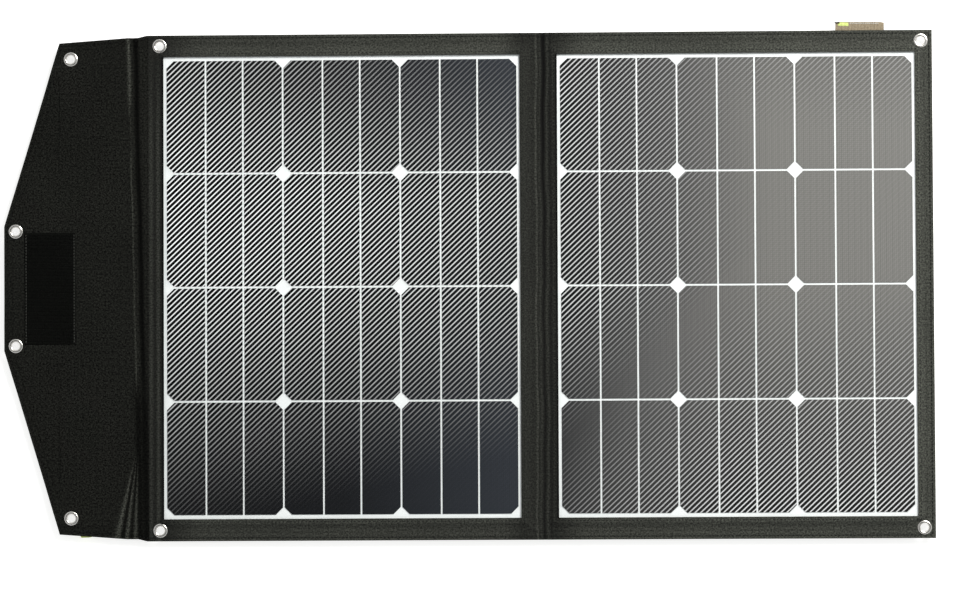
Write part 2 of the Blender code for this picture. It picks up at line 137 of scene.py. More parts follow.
def make_piece(
    name: str,
    points: Array,
    faces: list[Array],
    uv: Array | None = None,
    sharp: float = SHARP_DEGREES,
    painted_light_and_wear: Array | None = None,
) -> Thing:
    """Puts a closed body into the scene, with its faces turned outwards.

    The body's volume is the sum, over its triangles, of a corner's scalar triple product over 6. If it is
    negative the faces point inwards, and all of them are turned.

    Args:
        name: The piece's name.
        points: Its points, one row each.
        faces: Arrays of faces, each with one width, as indices into points.
        uv: The cloth's own flat coordinates for each point, or None for the point's x and y.
        sharp: Edges that bend by more than this many degrees stay sharp.
        painted_light_and_wear: How much paler each point is painted than its surroundings, for painted
            highlight and shade and for wear, kept as the attribute "painted_light_and_wear", or None.

    Returns:
        The new object, at the origin.
    """
    volume = 0.0
    for group in faces:
        first = points[group[:, 0]]
        for k in range(1, group.shape[1] - 1):
            volume += np.einsum("ij,ij->", first, np.cross(points[group[:, k]], points[group[:, k + 1]]))
    if volume < 0.0:
        faces = [group[:, ::-1] for group in faces]
    corners = np.concatenate([group.ravel() for group in faces]).astype(np.int32)
    sizes = np.concatenate([np.full(len(group), group.shape[1]) for group in faces])
    starts = np.concatenate([[0], np.cumsum(sizes)[:-1]]).astype(np.int32)
    mesh = bpy.data.meshes.new(name)
    mesh.vertices.add(len(points))
    mesh.vertices.foreach_set("co", points.astype(np.float32).ravel())
    mesh.loops.add(len(corners))
    mesh.loops.foreach_set("vertex_index", corners)
    mesh.polygons.add(len(sizes))
    mesh.polygons.foreach_set("loop_start", starts)
    mesh.update(calc_edges=True)
    flat = (points[:, :2] if uv is None else uv)[corners]
    mesh.uv_layers.new(name="flat").data.foreach_set("uv", flat.astype(np.float32).ravel())
    if painted_light_and_wear is not None:
        mesh.attributes.new("painted_light_and_wear", "FLOAT", "POINT").data.foreach_set("value", painted_light_and_wear.astype(np.float32))
    mesh.validate()
    mesh.shade_smooth()
    mesh.set_sharp_from_angle(angle=math.radians(sharp))
    thing = bpy.data.objects.new(name, mesh)
    bpy.context.scene.collection.objects.link(thing)
    return thing


def grid_quads(rows: int, columns: int, wrap_rows: bool = False, wrap_columns: bool = False) -> Array:
    """The quads between neighbours of a grid whose point (i, j) is number i * columns + j.

    Args:
        rows: Points along the first parameter.
        columns: Points along the second.
        wrap_rows: Whether the last row joins the first.
        wrap_columns: Whether the last column joins the first.

    Returns:
        One row of four indices for each quad.
    """
    index = np.arange(rows * columns).reshape(rows, columns)
    if wrap_rows:
        index = np.concatenate([index, index[:1]], axis=0)
    if wrap_columns:
        index = np.concatenate([index, index[:, :1]], axis=1)
    corners = [index[:-1, :-1], index[1:, :-1], index[1:, 1:], index[:-1, 1:]]
    return np.stack(corners, axis=-1).reshape(-1, 4)


def closed_sheet(
    name: str, x: Array, y: Array, top: Array, bottom: Array, wrap: bool = False, painted_light_and_wear: Array | None = None
) -> Thing:
    """A closed body between two height fields over one grid.

    The grid's point (i, j) stands at x[i, j], y[i, j]. The upper face runs through the heights in top and
    the lower one through those in bottom. A grid edge that only one quad has is on the rim, and a wall
    joins its two heights.

    Args:
        name: The piece's name.
        x: The grid's x values.
        y: The grid's y values.
        top: The upper face's heights.
        bottom: The lower face's heights.
        wrap: Whether the grid's last column joins its first, as in a ring.
        painted_light_and_wear: How much paler the upper face is painted at each grid point, for painted
            highlight and shade and for wear, or None.

    Returns:
        The new object.
    """
    count = x.size
    upper = grid_quads(*x.shape, wrap_columns=wrap)
    a, b, c = (np.stack([x.ravel()[upper[:, k]], y.ravel()[upper[:, k]]], 1) for k in (0, 1, 2))
    if np.sum((b - a)[:, 0] * (c - a)[:, 1] - (b - a)[:, 1] * (c - a)[:, 0]) < 0.0:
        upper = upper[:, ::-1]
    start, end = upper.ravel(), np.roll(upper, -1, axis=1).ravel()
    rim = ~np.isin(start * count + end, end * count + start)
    start, end = start[rim], end[rim]
    walls = np.stack([end, start, start + count, end + count], 1)
    flat = np.stack([x.ravel(), y.ravel()], 1)
    points = np.concatenate([np.column_stack([flat, top.ravel()]), np.column_stack([flat, bottom.ravel()])])
    both = None if painted_light_and_wear is None else np.concatenate([painted_light_and_wear.ravel(), 0.0 * painted_light_and_wear.ravel()])
    return make_piece(name, points, [upper, upper[:, ::-1] + count, walls], painted_light_and_wear=both)


def turned_points(profile: Array, centre: tuple[float, float], segments: int) -> Array:
    """Points of a profile turned round an upright axis: x and y are the centre plus r times the cosine and
    the sine.

    Args:
        profile: The profile's points as rows of radius and height.
        centre: The axis, as x and y.
        segments: Points round the circle.

    Returns:
        The points, one row each, the profile's first point first.
    """
    turn = np.linspace(0.0, 2.0 * math.pi, segments, endpoint=False)
    radius, height = profile[:, 0][:, None], profile[:, 1][:, None]
    ring = [centre[0] + radius * np.cos(turn), centre[1] + radius * np.sin(turn), height + 0.0 * turn]
    return np.stack(ring, -1).reshape(-1, 3)


def turned_ring(name: str, profile: Array, centre: tuple[float, float], segments: int = 56) -> Thing:
    """A ring: a closed profile turned round an upright axis, with both of its grid's directions joined up.
    """
    quads = grid_quads(len(profile), segments, wrap_rows=True, wrap_columns=True)
    return make_piece(name, turned_points(profile, centre, segments), [quads], sharp=50.0)


def repeat_shape(
    name: str,
    points: Array,
    faces: list[Array],
    places: Array,
    along: Array,
    up: Array | None = None,
    size: Array | None = None,
) -> Thing:
    """Many copies of one small shape in one mesh, placed as whole arrays.

    A copy's point is its place, plus the shape's x along one unit vector, its y across and its z up.
    Across is up's cross product with along.

    Args:
        name: The piece's name.
        points: The small shape's points.
        faces: Its faces, as arrays of indices.
        places: Where each copy stands.
        along: The direction of each copy's x.
        up: The direction of each copy's z, or None for straight up.
        size: Each copy's size, or None for 1.

    Returns:
        The new object.
    """
    lift = np.tile([0.0, 0.0, 1.0], (len(places), 1)) if up is None else up
    across = np.cross(lift, along)
    axes = np.stack([along, across, lift], axis=1)
    if size is not None:
        axes = axes * size[:, None, None]
    every = places[:, None, :] + np.einsum("pk,nkd->npd", points, axes)
    shift = (np.arange(len(places)) * len(points))[:, None, None]
    groups = [(group[None] + shift).reshape(-1, group.shape[1]) for group in faces]
    return make_piece(name, every.reshape(-1, 3), groups)


def spaced(path: Array, pitch: float) -> tuple[Array, Array]:
    """Evenly spaced points along a line of straight runs.

    Args:
        path: The line's points as rows of x and y.
        pitch: The distance between two points, which is changed a little so that a whole number fits.

    Returns:
        The points, and the unit direction of the line at each.
    """
    steps = np.diff(path, axis=0)
    lengths = np.hypot(steps[:, 0], steps[:, 1])
    walked = np.concatenate([[0.0], np.cumsum(lengths)])
    count = max(2, round(walked[-1] / pitch))
    at = (np.arange(count) + 0.5) * walked[-1] / count
    run = np.clip(np.searchsorted(walked, at, side="right") - 1, 0, len(steps) - 1)
    points = path[run] + steps[run] / lengths[run, None] * (at - walked[run])[:, None]
    return points, steps[run] / lengths[run, None]


def pierce(thing: Thing, centres: list[tuple[float, float]], radius: float) -> Thing:
    """Cuts round holes straight through a piece, and leaves no modifier on it.

    Args:
        thing: The piece.
        centres: Each hole's x and y.
        radius: The holes' radius.

    Returns:
        The same object, with its new mesh.
    """
    if not centres:
        return thing
    profile = np.array([[radius, -0.05], [radius, 0.05]])
    points, faces, caps = [], [], []
    segments = 40
    for number, centre in enumerate(centres):
        points.append(turned_points(profile, centre, segments))
        first = number * 2 * segments
        faces.append(grid_quads(2, segments, wrap_columns=True) + first)
        caps += [np.arange(segments)[None, ::-1] + first, np.arange(segments)[None] + first + segments]
    cutter = make_piece("cutter", np.concatenate(points), [np.concatenate(faces), *caps])
    modifier = thing.modifiers.new("holes", "BOOLEAN")
    modifier.object = cutter
    modifier.operation = "DIFFERENCE"
    bpy.context.view_layer.update()
    pierced = bpy.data.meshes.new_from_object(thing.evaluated_get(bpy.context.evaluated_depsgraph_get()))
    thing.modifiers.clear()
    thing.data = pierced
    pierced.name = thing.name
    pierced.shade_smooth()
    pierced.set_sharp_from_angle(angle=math.radians(SHARP_DEGREES))
    bpy.data.objects.remove(cutter)
    return thing


def stitch_shape(length: float, width: float, height: float) -> tuple[Array, list[Array]]:
    """One stitch: a diamond-section bar that narrows to a point at each end, in 12 faces.

    Its four long edges lie half a width to either side and half a height up and down, over the middle six
    tenths of it.
    """
    ring = np.array(
        [[0.0, 0.5, 0.0], [0.0, 0.0, 0.5], [0.0, -0.5, 0.0], [0.0, 0.0, -0.5]]
    ) * [1.0, width, height]
    reach = 0.3 * length
    points = np.concatenate(
        [[[-0.5 * length, 0, 0]], ring - [reach, 0, 0], ring + [reach, 0, 0], [[0.5 * length, 0, 0]]]
    )
    turn = np.arange(4)
    following = (turn + 1) % 4
    bars = np.stack([1 + turn, 1 + following, 5 + following, 5 + turn], 1)
    ends = np.concatenate(
        [
            np.stack([0 * turn, 1 + following, 1 + turn], 1),
            np.stack([0 * turn + 9, 5 + turn, 5 + following], 1),
        ]
    )
    return points, [bars, ends]


# ---------------------------------------------------------------------------------------------------------
# Finishes
# ---------------------------------------------------------------------------------------------------------


def linear(code: str, alpha: float = 1.0) -> tuple[float, float, float, float]:
    """The linear colour of an sRGB hex value such as "2b2f34", with its opacity."""
    parts = [int(code[k : k + 2], 16) / 255.0 for k in (0, 2, 4)]
    red, green, blue = (p / 12.92 if p <= 0.04045 else ((p + 0.055) / 1.055) ** 2.4 for p in parts)
    return red, green, blue, alpha


def add(
    tree: bpy.types.NodeTree, kind: str, inputs: dict | None = None, stops: list | None = None, **settings
) -> bpy.types.Node:
    """Adds one node to a tree, with its settings, its numbers and its links.

    Args:
        tree: The node tree.
        kind: The node's type without its ShaderNode prefix.
        inputs: For each input, by name or number, the socket that feeds it or its fixed value.
        stops: For a colour ramp, its pairs of place and hex colour or grey level.
        settings: The node's own properties.

    Returns:
        The new node.
    """
    made = tree.nodes.new("ShaderNode" + kind)
    for key, value in settings.items():
        setattr(made, key, value)
    for number, (place, tone) in enumerate(stops or []):
        band = made.color_ramp.elements
        element = band[number] if number < 2 else band.new(place)
        element.position = place
        element.color = linear(tone) if isinstance(tone, str) else (tone, tone, tone, 1.0)
    for key, value in (inputs or {}).items():
        if isinstance(value, bpy.types.NodeSocket):
            tree.links.new(value, made.inputs[key])
        else:
            made.inputs[key].default_value = value
    return made


def start_material(name: str) -> tuple[bpy.types.Material, bpy.types.NodeTree]:
    """A new material with an empty node tree."""
    material = bpy.data.materials.new(name)
    material.use_nodes = True
    material.node_tree.nodes.clear()
    return material, material.node_tree


def dress(thing: Thing, material: bpy.types.Material) -> Thing:
    """Gives a piece, or a node of the frame, one material all over."""
    if thing.material_slots:
        for place in thing.material_slots:
            place.material = material
    else:
        thing.data.materials.append(material)
    return thing


@dataclass(frozen=True)
class WovenCloth:
    """Coated polyester oxford cloth, dyed dark and woven in pairs of threads.

    The paired threads give a fine even grain, the coating behind them stops light from coming through, and
    the dye takes a little unevenly, so flat areas are mottled and not one grey. Light and shade are also
    painted into its colour. A painted light falloff across X leaves it darker beside the flap and in the
    fold, and paler towards the right where the softbox's light is strongest. Along the creases the ridges
    carry a painted highlight and the grooves painted shade. The hems' edges are worn pale. Filament yarn
    gives a faint sheen.
    """

    name: str
    shade: str
    lit_thread: str
    # Painted light falloff across X: pairs of x and the level that scales the colour there.
    fade: tuple[tuple[float, float], ...] = ((-0.518, 1.0), (0.518, 1.0))
    thread_mm: float = 1.3
    roughness: float = 0.85
    specular: float = 0.08
    sheen: float = 0.03
    relief: float = 0.4

    def make(self) -> bpy.types.Material:
        """Builds the material. The threads are drawn thread_mm apart, coarse enough for the grain to show."""
        material, tree = start_material(self.name)
        flat = add(tree, "UVMap", uv_map="flat").outputs[0]
        pitch = WAVE_PERIOD / (self.thread_mm * MM)
        yarn = {"Vector": flat, "Scale": pitch, "Distortion": 1.2, "Detail": 1.0, "Detail Scale": 3.0}
        warp = add(tree, "TexWave", yarn, bands_direction="X").outputs["Fac"]
        weft = add(tree, "TexWave", yarn, bands_direction="Y").outputs["Fac"]
        weave = add(tree, "Math", {0: warp, 1: weft}, operation="MULTIPLY").outputs[0]
        slub = add(
            tree, "TexNoise", {"Vector": flat, "Scale": 520.0, "Detail": 2.0, "Roughness": 0.7}
        ).outputs["Fac"]
        dye = add(
            tree, "TexNoise", {"Vector": flat, "Scale": 9.0, "Detail": 4.0, "Roughness": 0.6}
        ).outputs["Fac"]
        grain = add(tree, "Math", {0: weave, 1: 0.35, 2: slub}, operation="MULTIPLY_ADD").outputs[0]
        grain = add(tree, "MapRange", {"Value": grain, "From Min": 0.45, "From Max": 0.76}).outputs[0]
        patchy = add(
            tree, "MapRange", {"Value": dye, "From Min": 0.3, "From Max": 0.7, "To Min": 0.7, "To Max": 1.0}
        ).outputs[0]
        mixing = add(tree, "Math", {0: grain, 1: patchy}, operation="MULTIPLY").outputs[0]
        colour = add(
            tree, "ValToRGB", {"Fac": mixing}, stops=[(0.0, self.shade), (1.0, self.lit_thread)]
        ).outputs[0]
        # Painted light falloff: a ramp across X scales the colour, darker beside the flap and in the fold,
        # paler towards the right.
        along = add(tree, "SeparateXYZ", {0: flat}).outputs[0]
        west, east = self.fade[0][0], self.fade[-1][0]
        along = add(tree, "MapRange", {"Value": along, "From Min": west, "From Max": east}).outputs[0]
        places = [((x - west) / (east - west), level) for x, level in self.fade]
        painted_light_falloff = add(tree, "ValToRGB", {"Fac": along}, stops=places).outputs[0]
        # Painted highlight and shade along the creases, and wear on the edges, read from the mesh's
        # attribute.
        painted_light_and_wear_gain = add(tree, "Attribute", attribute_name="painted_light_and_wear").outputs["Fac"]
        painted_light_and_wear_gain = add(tree, "Math", {0: painted_light_and_wear_gain, 1: 1.0}, operation="ADD").outputs[0]
        level = add(tree, "Math", {0: painted_light_falloff, 1: painted_light_and_wear_gain}, operation="MULTIPLY").outputs[0]
        colour = add(tree, "VectorMath", {0: colour, "Scale": level}, operation="SCALE").outputs[0]
        rough = add(
            tree,
            "MapRange",
            {"Value": slub, "To Min": self.roughness - 0.08, "To Max": self.roughness + 0.1},
        ).outputs[0]
        bump = add(tree, "Bump", {"Height": grain, "Strength": self.relief, "Distance": 0.0004}).outputs[0]
        body = add(tree, "BsdfPrincipled", {"Base Color": colour, "Roughness": rough, "Normal": bump,
                   "Specular IOR Level": self.specular, "Sheen Weight": self.sheen, "Sheen Roughness": 0.6})
        add(tree, "OutputMaterial", {"Surface": body.outputs[0]})
        return material


@dataclass(frozen=True)
class SewingThread:
    """Bonded polyester sewing thread: three twisted plies with a waxed surface, which catches a small soft
    highlight.
    """

    name: str
    tone: str

    def make(self) -> bpy.types.Material:
        """Builds the material. The twist is drawn as bands 0.6 mm apart."""
        material, tree = start_material(self.name)
        place = add(tree, "TexCoord").outputs["Object"]
        twist = add(
            tree,
            "TexWave",
            {"Vector": place, "Scale": 520.0, "Distortion": 0.5},
            bands_direction="DIAGONAL",
        ).outputs["Fac"]
        colour = add(tree, "ValToRGB", {"Fac": twist}, stops=[(0.0, "050504"), (1.0, self.tone)]).outputs[0]
        bump = add(tree, "Bump", {"Height": twist, "Strength": 0.4, "Distance": 0.0001}).outputs[0]
        body = add(
            tree,
            "BsdfPrincipled",
            {"Base Color": colour, "Roughness": 0.6, "Normal": bump, "Specular IOR Level": 0.12},
        )
        add(tree, "OutputMaterial", {"Surface": body.outputs[0]})
        return material


class PaintedReflection(Enum):
    """Where the painted reflection of the studio in the front film lies over a panel's wafers, as a dull
    veil.
    """

    FROM_TOP_AND_FOOT = "left"
    FROM_LOWER_RIGHT = "right"


@dataclass(frozen=True)
class RibbedSilicon:
    """Monocrystalline silicon under an embossed fluoropolymer film.

    The wafer itself is near black. The film is rolled with fine slanting ribs, and each rib's lit side
    is painted as a pale line over the dark wafer, a painted highlight that makes the wafers look striped.
    Where a painted reflection of the studio lies over them, the ribs fade into an even grey or blue-black.
    """

    name: str
    painted_reflection: PaintedReflection
    window: tuple[float, float, float, float]
    rib_mm: float = 4.38
    rise_degrees: float = 43.4
    dark: str = "010101"
    lit: str = "ecebe9"

    def painted_reflection_share(self, tree: bpy.types.NodeTree, across: Socket, down: Socket) -> Socket:
        """How strongly the studio's reflection is painted over the wafers, from 0 to 1.

        On the left panel the share is 0.22 across, plus a foot and a head. The foot is the square of how
        far down passes 0.4, times 2.2 + 1.1 across. The head falls from 0.15 + 0.5 across at the top edge
        to 0 at 0.3 down.

        On the right one D is the height over a slanting line, 0.85 - 0.75 across - down. Above the line
        the share is the larger of 0.26 + 1.2 across and 0.94 less 2.2 D, at most 0.94. Below it 1.45 for
        each height of the window is taken off, and less of it past the middle. What is left clear is then
        raised to a power, 2 on the left and 1.3 on the right, because dark ribs vanish sooner than the
        painted reflection grows. The right one is kept under 0.84 at the top edge and under 0.985 below.

        Args:
            tree: The material's tree.
            across: 0 at the window's left edge, 1 at its right edge.
            down: 0 at its top edge, 1 at its foot.

        Returns:
            The share of painted reflection.
        """
        if self.painted_reflection is PaintedReflection.FROM_TOP_AND_FOOT:
            past = add(tree, "Math", {0: down, 1: 0.4}, operation="SUBTRACT").outputs[0]
            past = add(tree, "Math", {0: past, 1: 0.0}, operation="MAXIMUM").outputs[0]
            squared = add(tree, "Math", {0: past, 1: past}, operation="MULTIPLY").outputs[0]
            gain = add(tree, "Math", {0: across, 1: 1.1, 2: 2.2}, operation="MULTIPLY_ADD").outputs[0]
            base = add(tree, "Math", {0: across, 1: 0.22}, operation="MULTIPLY").outputs[0]
            share = add(tree, "Math", {0: squared, 1: gain, 2: base}, operation="MULTIPLY_ADD").outputs[0]
            fall = add(tree, "MapRange", {"Value": down, "From Min": 0.3, "From Max": 0.0}).outputs[0]
            head = add(tree, "Math", {0: across, 1: 0.5, 2: 0.15}, operation="MULTIPLY_ADD").outputs[0]
            share = add(tree, "Math", {0: head, 1: fall, 2: share}, operation="MULTIPLY_ADD").outputs[0]
            clear = add(
                tree, "MapRange", {"Value": share, "From Max": 0.95, "To Min": 1.0, "To Max": 0.05}
            ).outputs[0]
            clear = add(tree, "Math", {0: clear, 1: 2.0}, operation="POWER").outputs[0]
            return add(tree, "Math", {0: 1.0, 1: clear}, operation="SUBTRACT").outputs[0]
        line = add(tree, "Math", {0: across, 1: -0.75, 2: 0.85}, operation="MULTIPLY_ADD").outputs[0]
        above = add(tree, "Math", {0: line, 1: down}, operation="SUBTRACT").outputs[0]
        lift = add(tree, "Math", {0: above, 1: 0.0}, operation="MAXIMUM").outputs[0]
        near = add(tree, "Math", {0: lift, 1: -2.2, 2: 0.94}, operation="MULTIPLY_ADD").outputs[0]
        base = add(tree, "Math", {0: across, 1: 1.2, 2: 0.26}, operation="MULTIPLY_ADD").outputs[0]
        upper = add(tree, "Math", {0: near, 1: base}, operation="MAXIMUM").outputs[0]
        upper = add(tree, "Math", {0: upper, 1: 0.94}, operation="MINIMUM").outputs[0]
        side = add(tree, "Math", {0: across, 1: 0.5}, operation="SUBTRACT").outputs[0]
        side = add(tree, "Math", {0: side, 1: 0.0}, operation="MAXIMUM").outputs[0]
        below = add(tree, "Math", {0: side, 1: 0.75, 2: above}, operation="MULTIPLY_ADD").outputs[0]
        below = add(tree, "Math", {0: below, 1: 0.0}, operation="MINIMUM").outputs[0]
        share = add(tree, "Math", {0: below, 1: 1.45, 2: upper}, operation="MULTIPLY_ADD").outputs[0]
        clear = add(
            tree,
            "MapRange",
            {"Value": share, "From Min": 0.2, "From Max": 0.94, "To Min": 0.8, "To Max": 0.04},
        ).outputs[0]
        clear = add(tree, "Math", {0: clear, 1: 1.3}, operation="POWER").outputs[0]
        share = add(tree, "Math", {0: 1.0, 1: clear}, operation="SUBTRACT").outputs[0]
        most = add(
            tree, "MapRange", {"Value": down, "From Max": 0.17, "To Min": 0.84, "To Max": 0.985}
        ).outputs[0]
        return add(tree, "Math", {0: share, 1: most}, operation="MINIMUM").outputs[0]

    def make(self) -> bpy.types.Material:
        """Builds the material. The ribs' phase is a plane wave over the whole panel, so they run on from
        wafer to wafer.
        """
        material, tree = start_material(self.name)
        west, east, south, north = self.window
        place = add(tree, "TexCoord").outputs["Object"]
        split = add(tree, "SeparateXYZ", {0: place})
        across = add(
            tree, "MapRange", {"Value": split.outputs[0], "From Min": west, "From Max": east}
        ).outputs[0]
        down = add(
            tree, "MapRange", {"Value": split.outputs[1], "From Min": north, "From Max": south}
        ).outputs[0]
        turn = math.radians(self.rise_degrees)
        per_metre = 2.0 * math.pi / (self.rib_mm * MM)
        run = add(
            tree, "Math", {0: split.outputs[0], 1: per_metre * math.sin(turn)}, operation="MULTIPLY"
        ).outputs[0]
        phase = add(
            tree,
            "Math",
            {0: split.outputs[1], 1: -per_metre * math.cos(turn), 2: run},
            operation="MULTIPLY_ADD",
        ).outputs[0]
        wave = add(tree, "Math", {0: phase}, operation="SINE").outputs[0]
        rib = add(
            tree,
            "MapRange",
            {"Value": wave, "From Min": 0.36, "From Max": 0.74},
            interpolation_type="SMOOTHSTEP",
        ).outputs[0]
        patch = add(tree, "TexNoise", {"Vector": place, "Scale": 5.0, "Detail": 2.0}).outputs["Fac"]
        patch = add(
            tree,
            "MapRange",
            {"Value": patch, "From Min": 0.3, "From Max": 0.7, "To Min": 0.9, "To Max": 1.0},
        ).outputs[0]
        rib = add(tree, "Math", {0: rib, 1: patch}, operation="MULTIPLY").outputs[0]
        # Painted highlight: each rib's lit side is painted into the base colour as a pale stripe.
        striped = add(tree, "ValToRGB", {"Fac": rib}, stops=[(0.0, self.dark), (1.0, self.lit)]).outputs[0]
        # Painted reflection of the studio in the film: a dull grey veil on the right panel and a blue-black
        # one on the left, laid over the stripes.
        share = self.painted_reflection_share(tree, across, down)
        if self.painted_reflection is PaintedReflection.FROM_TOP_AND_FOOT:
            tones = [(0.0, "010102"), (0.5, "07090d"), (1.0, "2c3036")]
        else:
            tones = [(0.0, "323232"), (0.25, "5d5c5a"), (0.4, "6a6865"), (0.6, "7b7974"), (1.0, "7e7c77")]
        painted_reflection_tone = add(tree, "ValToRGB", {"Fac": across}, stops=tones).outputs[0]
        painted_reflection_weight = add(tree, "Math", {0: share, 1: 1.5}, operation="POWER").outputs[0]
        painted_reflection_tone = add(tree, "VectorMath", {0: painted_reflection_tone, "Scale": painted_reflection_weight}, operation="SCALE").outputs[0]
        # The cells' contact fingers: fine upright lines 7 mm apart and dots 2.2 mm apart, only just
        # visible.
        finger = add(
            tree, "TexWave", {"Vector": place, "Scale": WAVE_PERIOD / 0.007}, bands_direction="X"
        ).outputs["Fac"]
        finger = add(
            tree, "MapRange", {"Value": finger, "From Min": 0.9, "From Max": 1.0, "To Max": 0.10}
        ).outputs[0]
        dots = add(
            tree, "TexVoronoi", {"Vector": place, "Scale": 450.0, "Randomness": 0.0}
        ).outputs["Distance"]
        dots = add(
            tree, "MapRange", {"Value": dots, "From Min": 0.1, "From Max": 0.6, "To Max": 0.30}
        ).outputs[0]
        fine = add(tree, "Math", {0: finger, 1: dots}, operation="ADD").outputs[0]
        painted_reflection_tone = add(tree, "Mix", {"Factor": fine, 6: painted_reflection_tone, 7: linear("1c1d1e")}, data_type="RGBA").outputs[2]
        colour = add(tree, "Mix", {"Factor": share, 6: striped, 7: painted_reflection_tone}, data_type="RGBA").outputs[2]
        bump = add(tree, "Bump", {"Height": rib, "Strength": 0.15, "Distance": 0.0002}).outputs[0]
        body = add(
            tree,
            "BsdfPrincipled",
            {"Base Color": colour, "Roughness": 0.6, "Normal": bump, "Specular IOR Level": 0.05},
        )
        add(tree, "OutputMaterial", {"Surface": body.outputs[0]})
        return material


@dataclass(frozen=True)
class FluoropolymerFilm:
    """Clear embossed fluoropolymer film: see-through, with a soft satin gloss that is broken up by the
    embossing.
    """

    name: str = "clear_embossed_fluoropolymer_film"
    gloss: float = 0.015

    def make(self) -> bpy.types.Material:
        """Builds the material: mostly clear, with a share of gloss. The embossing is drawn as dimples 1.5
        mm apart.
        """
        material, tree = start_material(self.name)
        place = add(tree, "TexCoord").outputs["Object"]
        dimple = add(
            tree, "TexVoronoi", {"Vector": place, "Scale": 660.0, "Randomness": 0.3}
        ).outputs["Distance"]
        bump = add(tree, "Bump", {"Height": dimple, "Strength": 0.12, "Distance": 0.0002}).outputs[0]
        clear = add(tree, "BsdfTransparent", {"Color": (0.99, 0.995, 1.0, 1.0)}).outputs[0]
        shine = add(
            tree, "BsdfAnisotropic", {"Color": (1.0, 1.0, 1.0, 1.0), "Roughness": 0.3, "Normal": bump}
        ).outputs[0]
        both = add(tree, "MixShader", {0: self.gloss, 1: clear, 2: shine}).outputs[0]
        add(tree, "OutputMaterial", {"Surface": both})
        return material


@dataclass(frozen=True)
class Moulded:
    """A moulded, pressed or laminated plastic or rubber: one body colour with a fine spark-eroded grain
    from the mould.
    """

    name: str
    tone: str
    light: str
    roughness: float
    grain_mm: float = 0.8
    relief: float = 0.25
    gloss: float = 0.4

    def make(self) -> bpy.types.Material:
        """Builds the material. The mould texture's grain is grain_mm across, so that it shows close up."""
        material, tree = start_material(self.name)
        place = add(tree, "TexCoord").outputs["Object"]
        grain = add(
            tree, "TexNoise", {"Vector": place, "Scale": 1.0 / (self.grain_mm * MM), "Detail": 3.0}
        ).outputs["Fac"]
        cloud = add(tree, "TexNoise", {"Vector": place, "Scale": 14.0, "Detail": 3.0}).outputs["Fac"]
        both = add(tree, "Math", {0: grain, 1: cloud}, operation="MULTIPLY").outputs[0]
        both = add(tree, "MapRange", {"Value": both, "From Min": 0.12, "From Max": 0.42}).outputs[0]
        colour = add(
            tree, "ValToRGB", {"Fac": both}, stops=[(0.0, self.tone), (1.0, self.light)]
        ).outputs[0]
        rough = add(
            tree,
            "MapRange",
            {"Value": cloud, "To Min": self.roughness - 0.08, "To Max": self.roughness + 0.08},
        ).outputs[0]
        bump = add(tree, "Bump", {"Height": grain, "Strength": self.relief, "Distance": 0.0001}).outputs[0]
        body = add(
            tree,
            "BsdfPrincipled",
            {"Base Color": colour, "Roughness": rough, "Normal": bump, "Specular IOR Level": self.gloss},
        )
        add(tree, "OutputMaterial", {"Surface": body.outputs[0]})
        return material


@dataclass(frozen=True)
class PlatedMetal:
    """Brass or copper with a bright plated skin: nickel on eyelets, tin on ribbon. Handling leaves faint
    soft smears.
    """

    name: str
    tone: str
    roughness: float

    def make(self) -> bpy.types.Material:
        """Builds the material. Smears are 6 mm across, and the press leaves marks 0.5 mm across."""
        material, tree = start_material(self.name)
        place = add(tree, "TexCoord").outputs["Object"]
        smear = add(tree, "TexNoise", {"Vector": place, "Scale": 170.0, "Detail": 3.0}).outputs["Fac"]
        mark = add(tree, "TexNoise", {"Vector": place, "Scale": 2000.0, "Detail": 2.0}).outputs["Fac"]
        rough = add(
            tree,
            "MapRange",
            {"Value": smear, "To Min": self.roughness - 0.06, "To Max": self.roughness + 0.12},
        ).outputs[0]
        colour = add(
            tree, "ValToRGB", {"Fac": smear}, stops=[(0.25, self.tone), (0.8, "f2efe9")]
        ).outputs[0]
        bump = add(tree, "Bump", {"Height": mark, "Strength": 0.08, "Distance": 0.0001}).outputs[0]
        body = add(
            tree,
            "BsdfPrincipled",
            {"Base Color": colour, "Metallic": 1.0, "Roughness": rough, "Normal": bump},
        )
        add(tree, "OutputMaterial", {"Surface": body.outputs[0]})
        return material


@dataclass(frozen=True)
class WovenTape:
    """Narrow woven tape: ribs across its width, packed close on the loom, with a firm woven edge."""

    name: str
    shade: str
    light: str
    rib_mm: float = 1.6
    direction: str = "X"
    roughness: float = 0.85
    specular: float = 0.2
    sheen: float = 0.1

    def make(self) -> bpy.types.Material:
        """Builds the material. The ribs are drawn rib_mm apart, coarse enough to show."""
        material, tree = start_material(self.name)
        place = add(tree, "TexCoord").outputs["Object"]
        pitch = WAVE_PERIOD / (self.rib_mm * MM)
        weave = {"Vector": place, "Scale": pitch, "Distortion": 0.8, "Detail": 1.0}
        rib = add(tree, "TexWave", weave, bands_direction=self.direction).outputs["Fac"]
        fuzz = add(tree, "TexNoise", {"Vector": place, "Scale": 700.0, "Detail": 3.0}).outputs["Fac"]
        both = add(tree, "Math", {0: rib, 1: 0.5, 2: fuzz}, operation="MULTIPLY_ADD").outputs[0]
        both = add(tree, "MapRange", {"Value": both, "From Min": 0.35, "From Max": 1.1}).outputs[0]
        colour = add(
            tree, "ValToRGB", {"Fac": both}, stops=[(0.0, self.shade), (1.0, self.light)]
        ).outputs[0]
        bump = add(tree, "Bump", {"Height": both, "Strength": 0.5, "Distance": 0.0003}).outputs[0]
        body = add(tree, "BsdfPrincipled", {"Base Color": colour, "Roughness": self.roughness, "Normal": bump,
                   "Specular IOR Level": self.specular, "Sheen Weight": self.sheen})
        add(tree, "OutputMaterial", {"Surface": body.outputs[0]})
        return material


# ---------------------------------------------------------------------------------------------------------
# Sizes that several pieces share
# ---------------------------------------------------------------------------------------------------------

Rect = tuple[float, float, float, float]
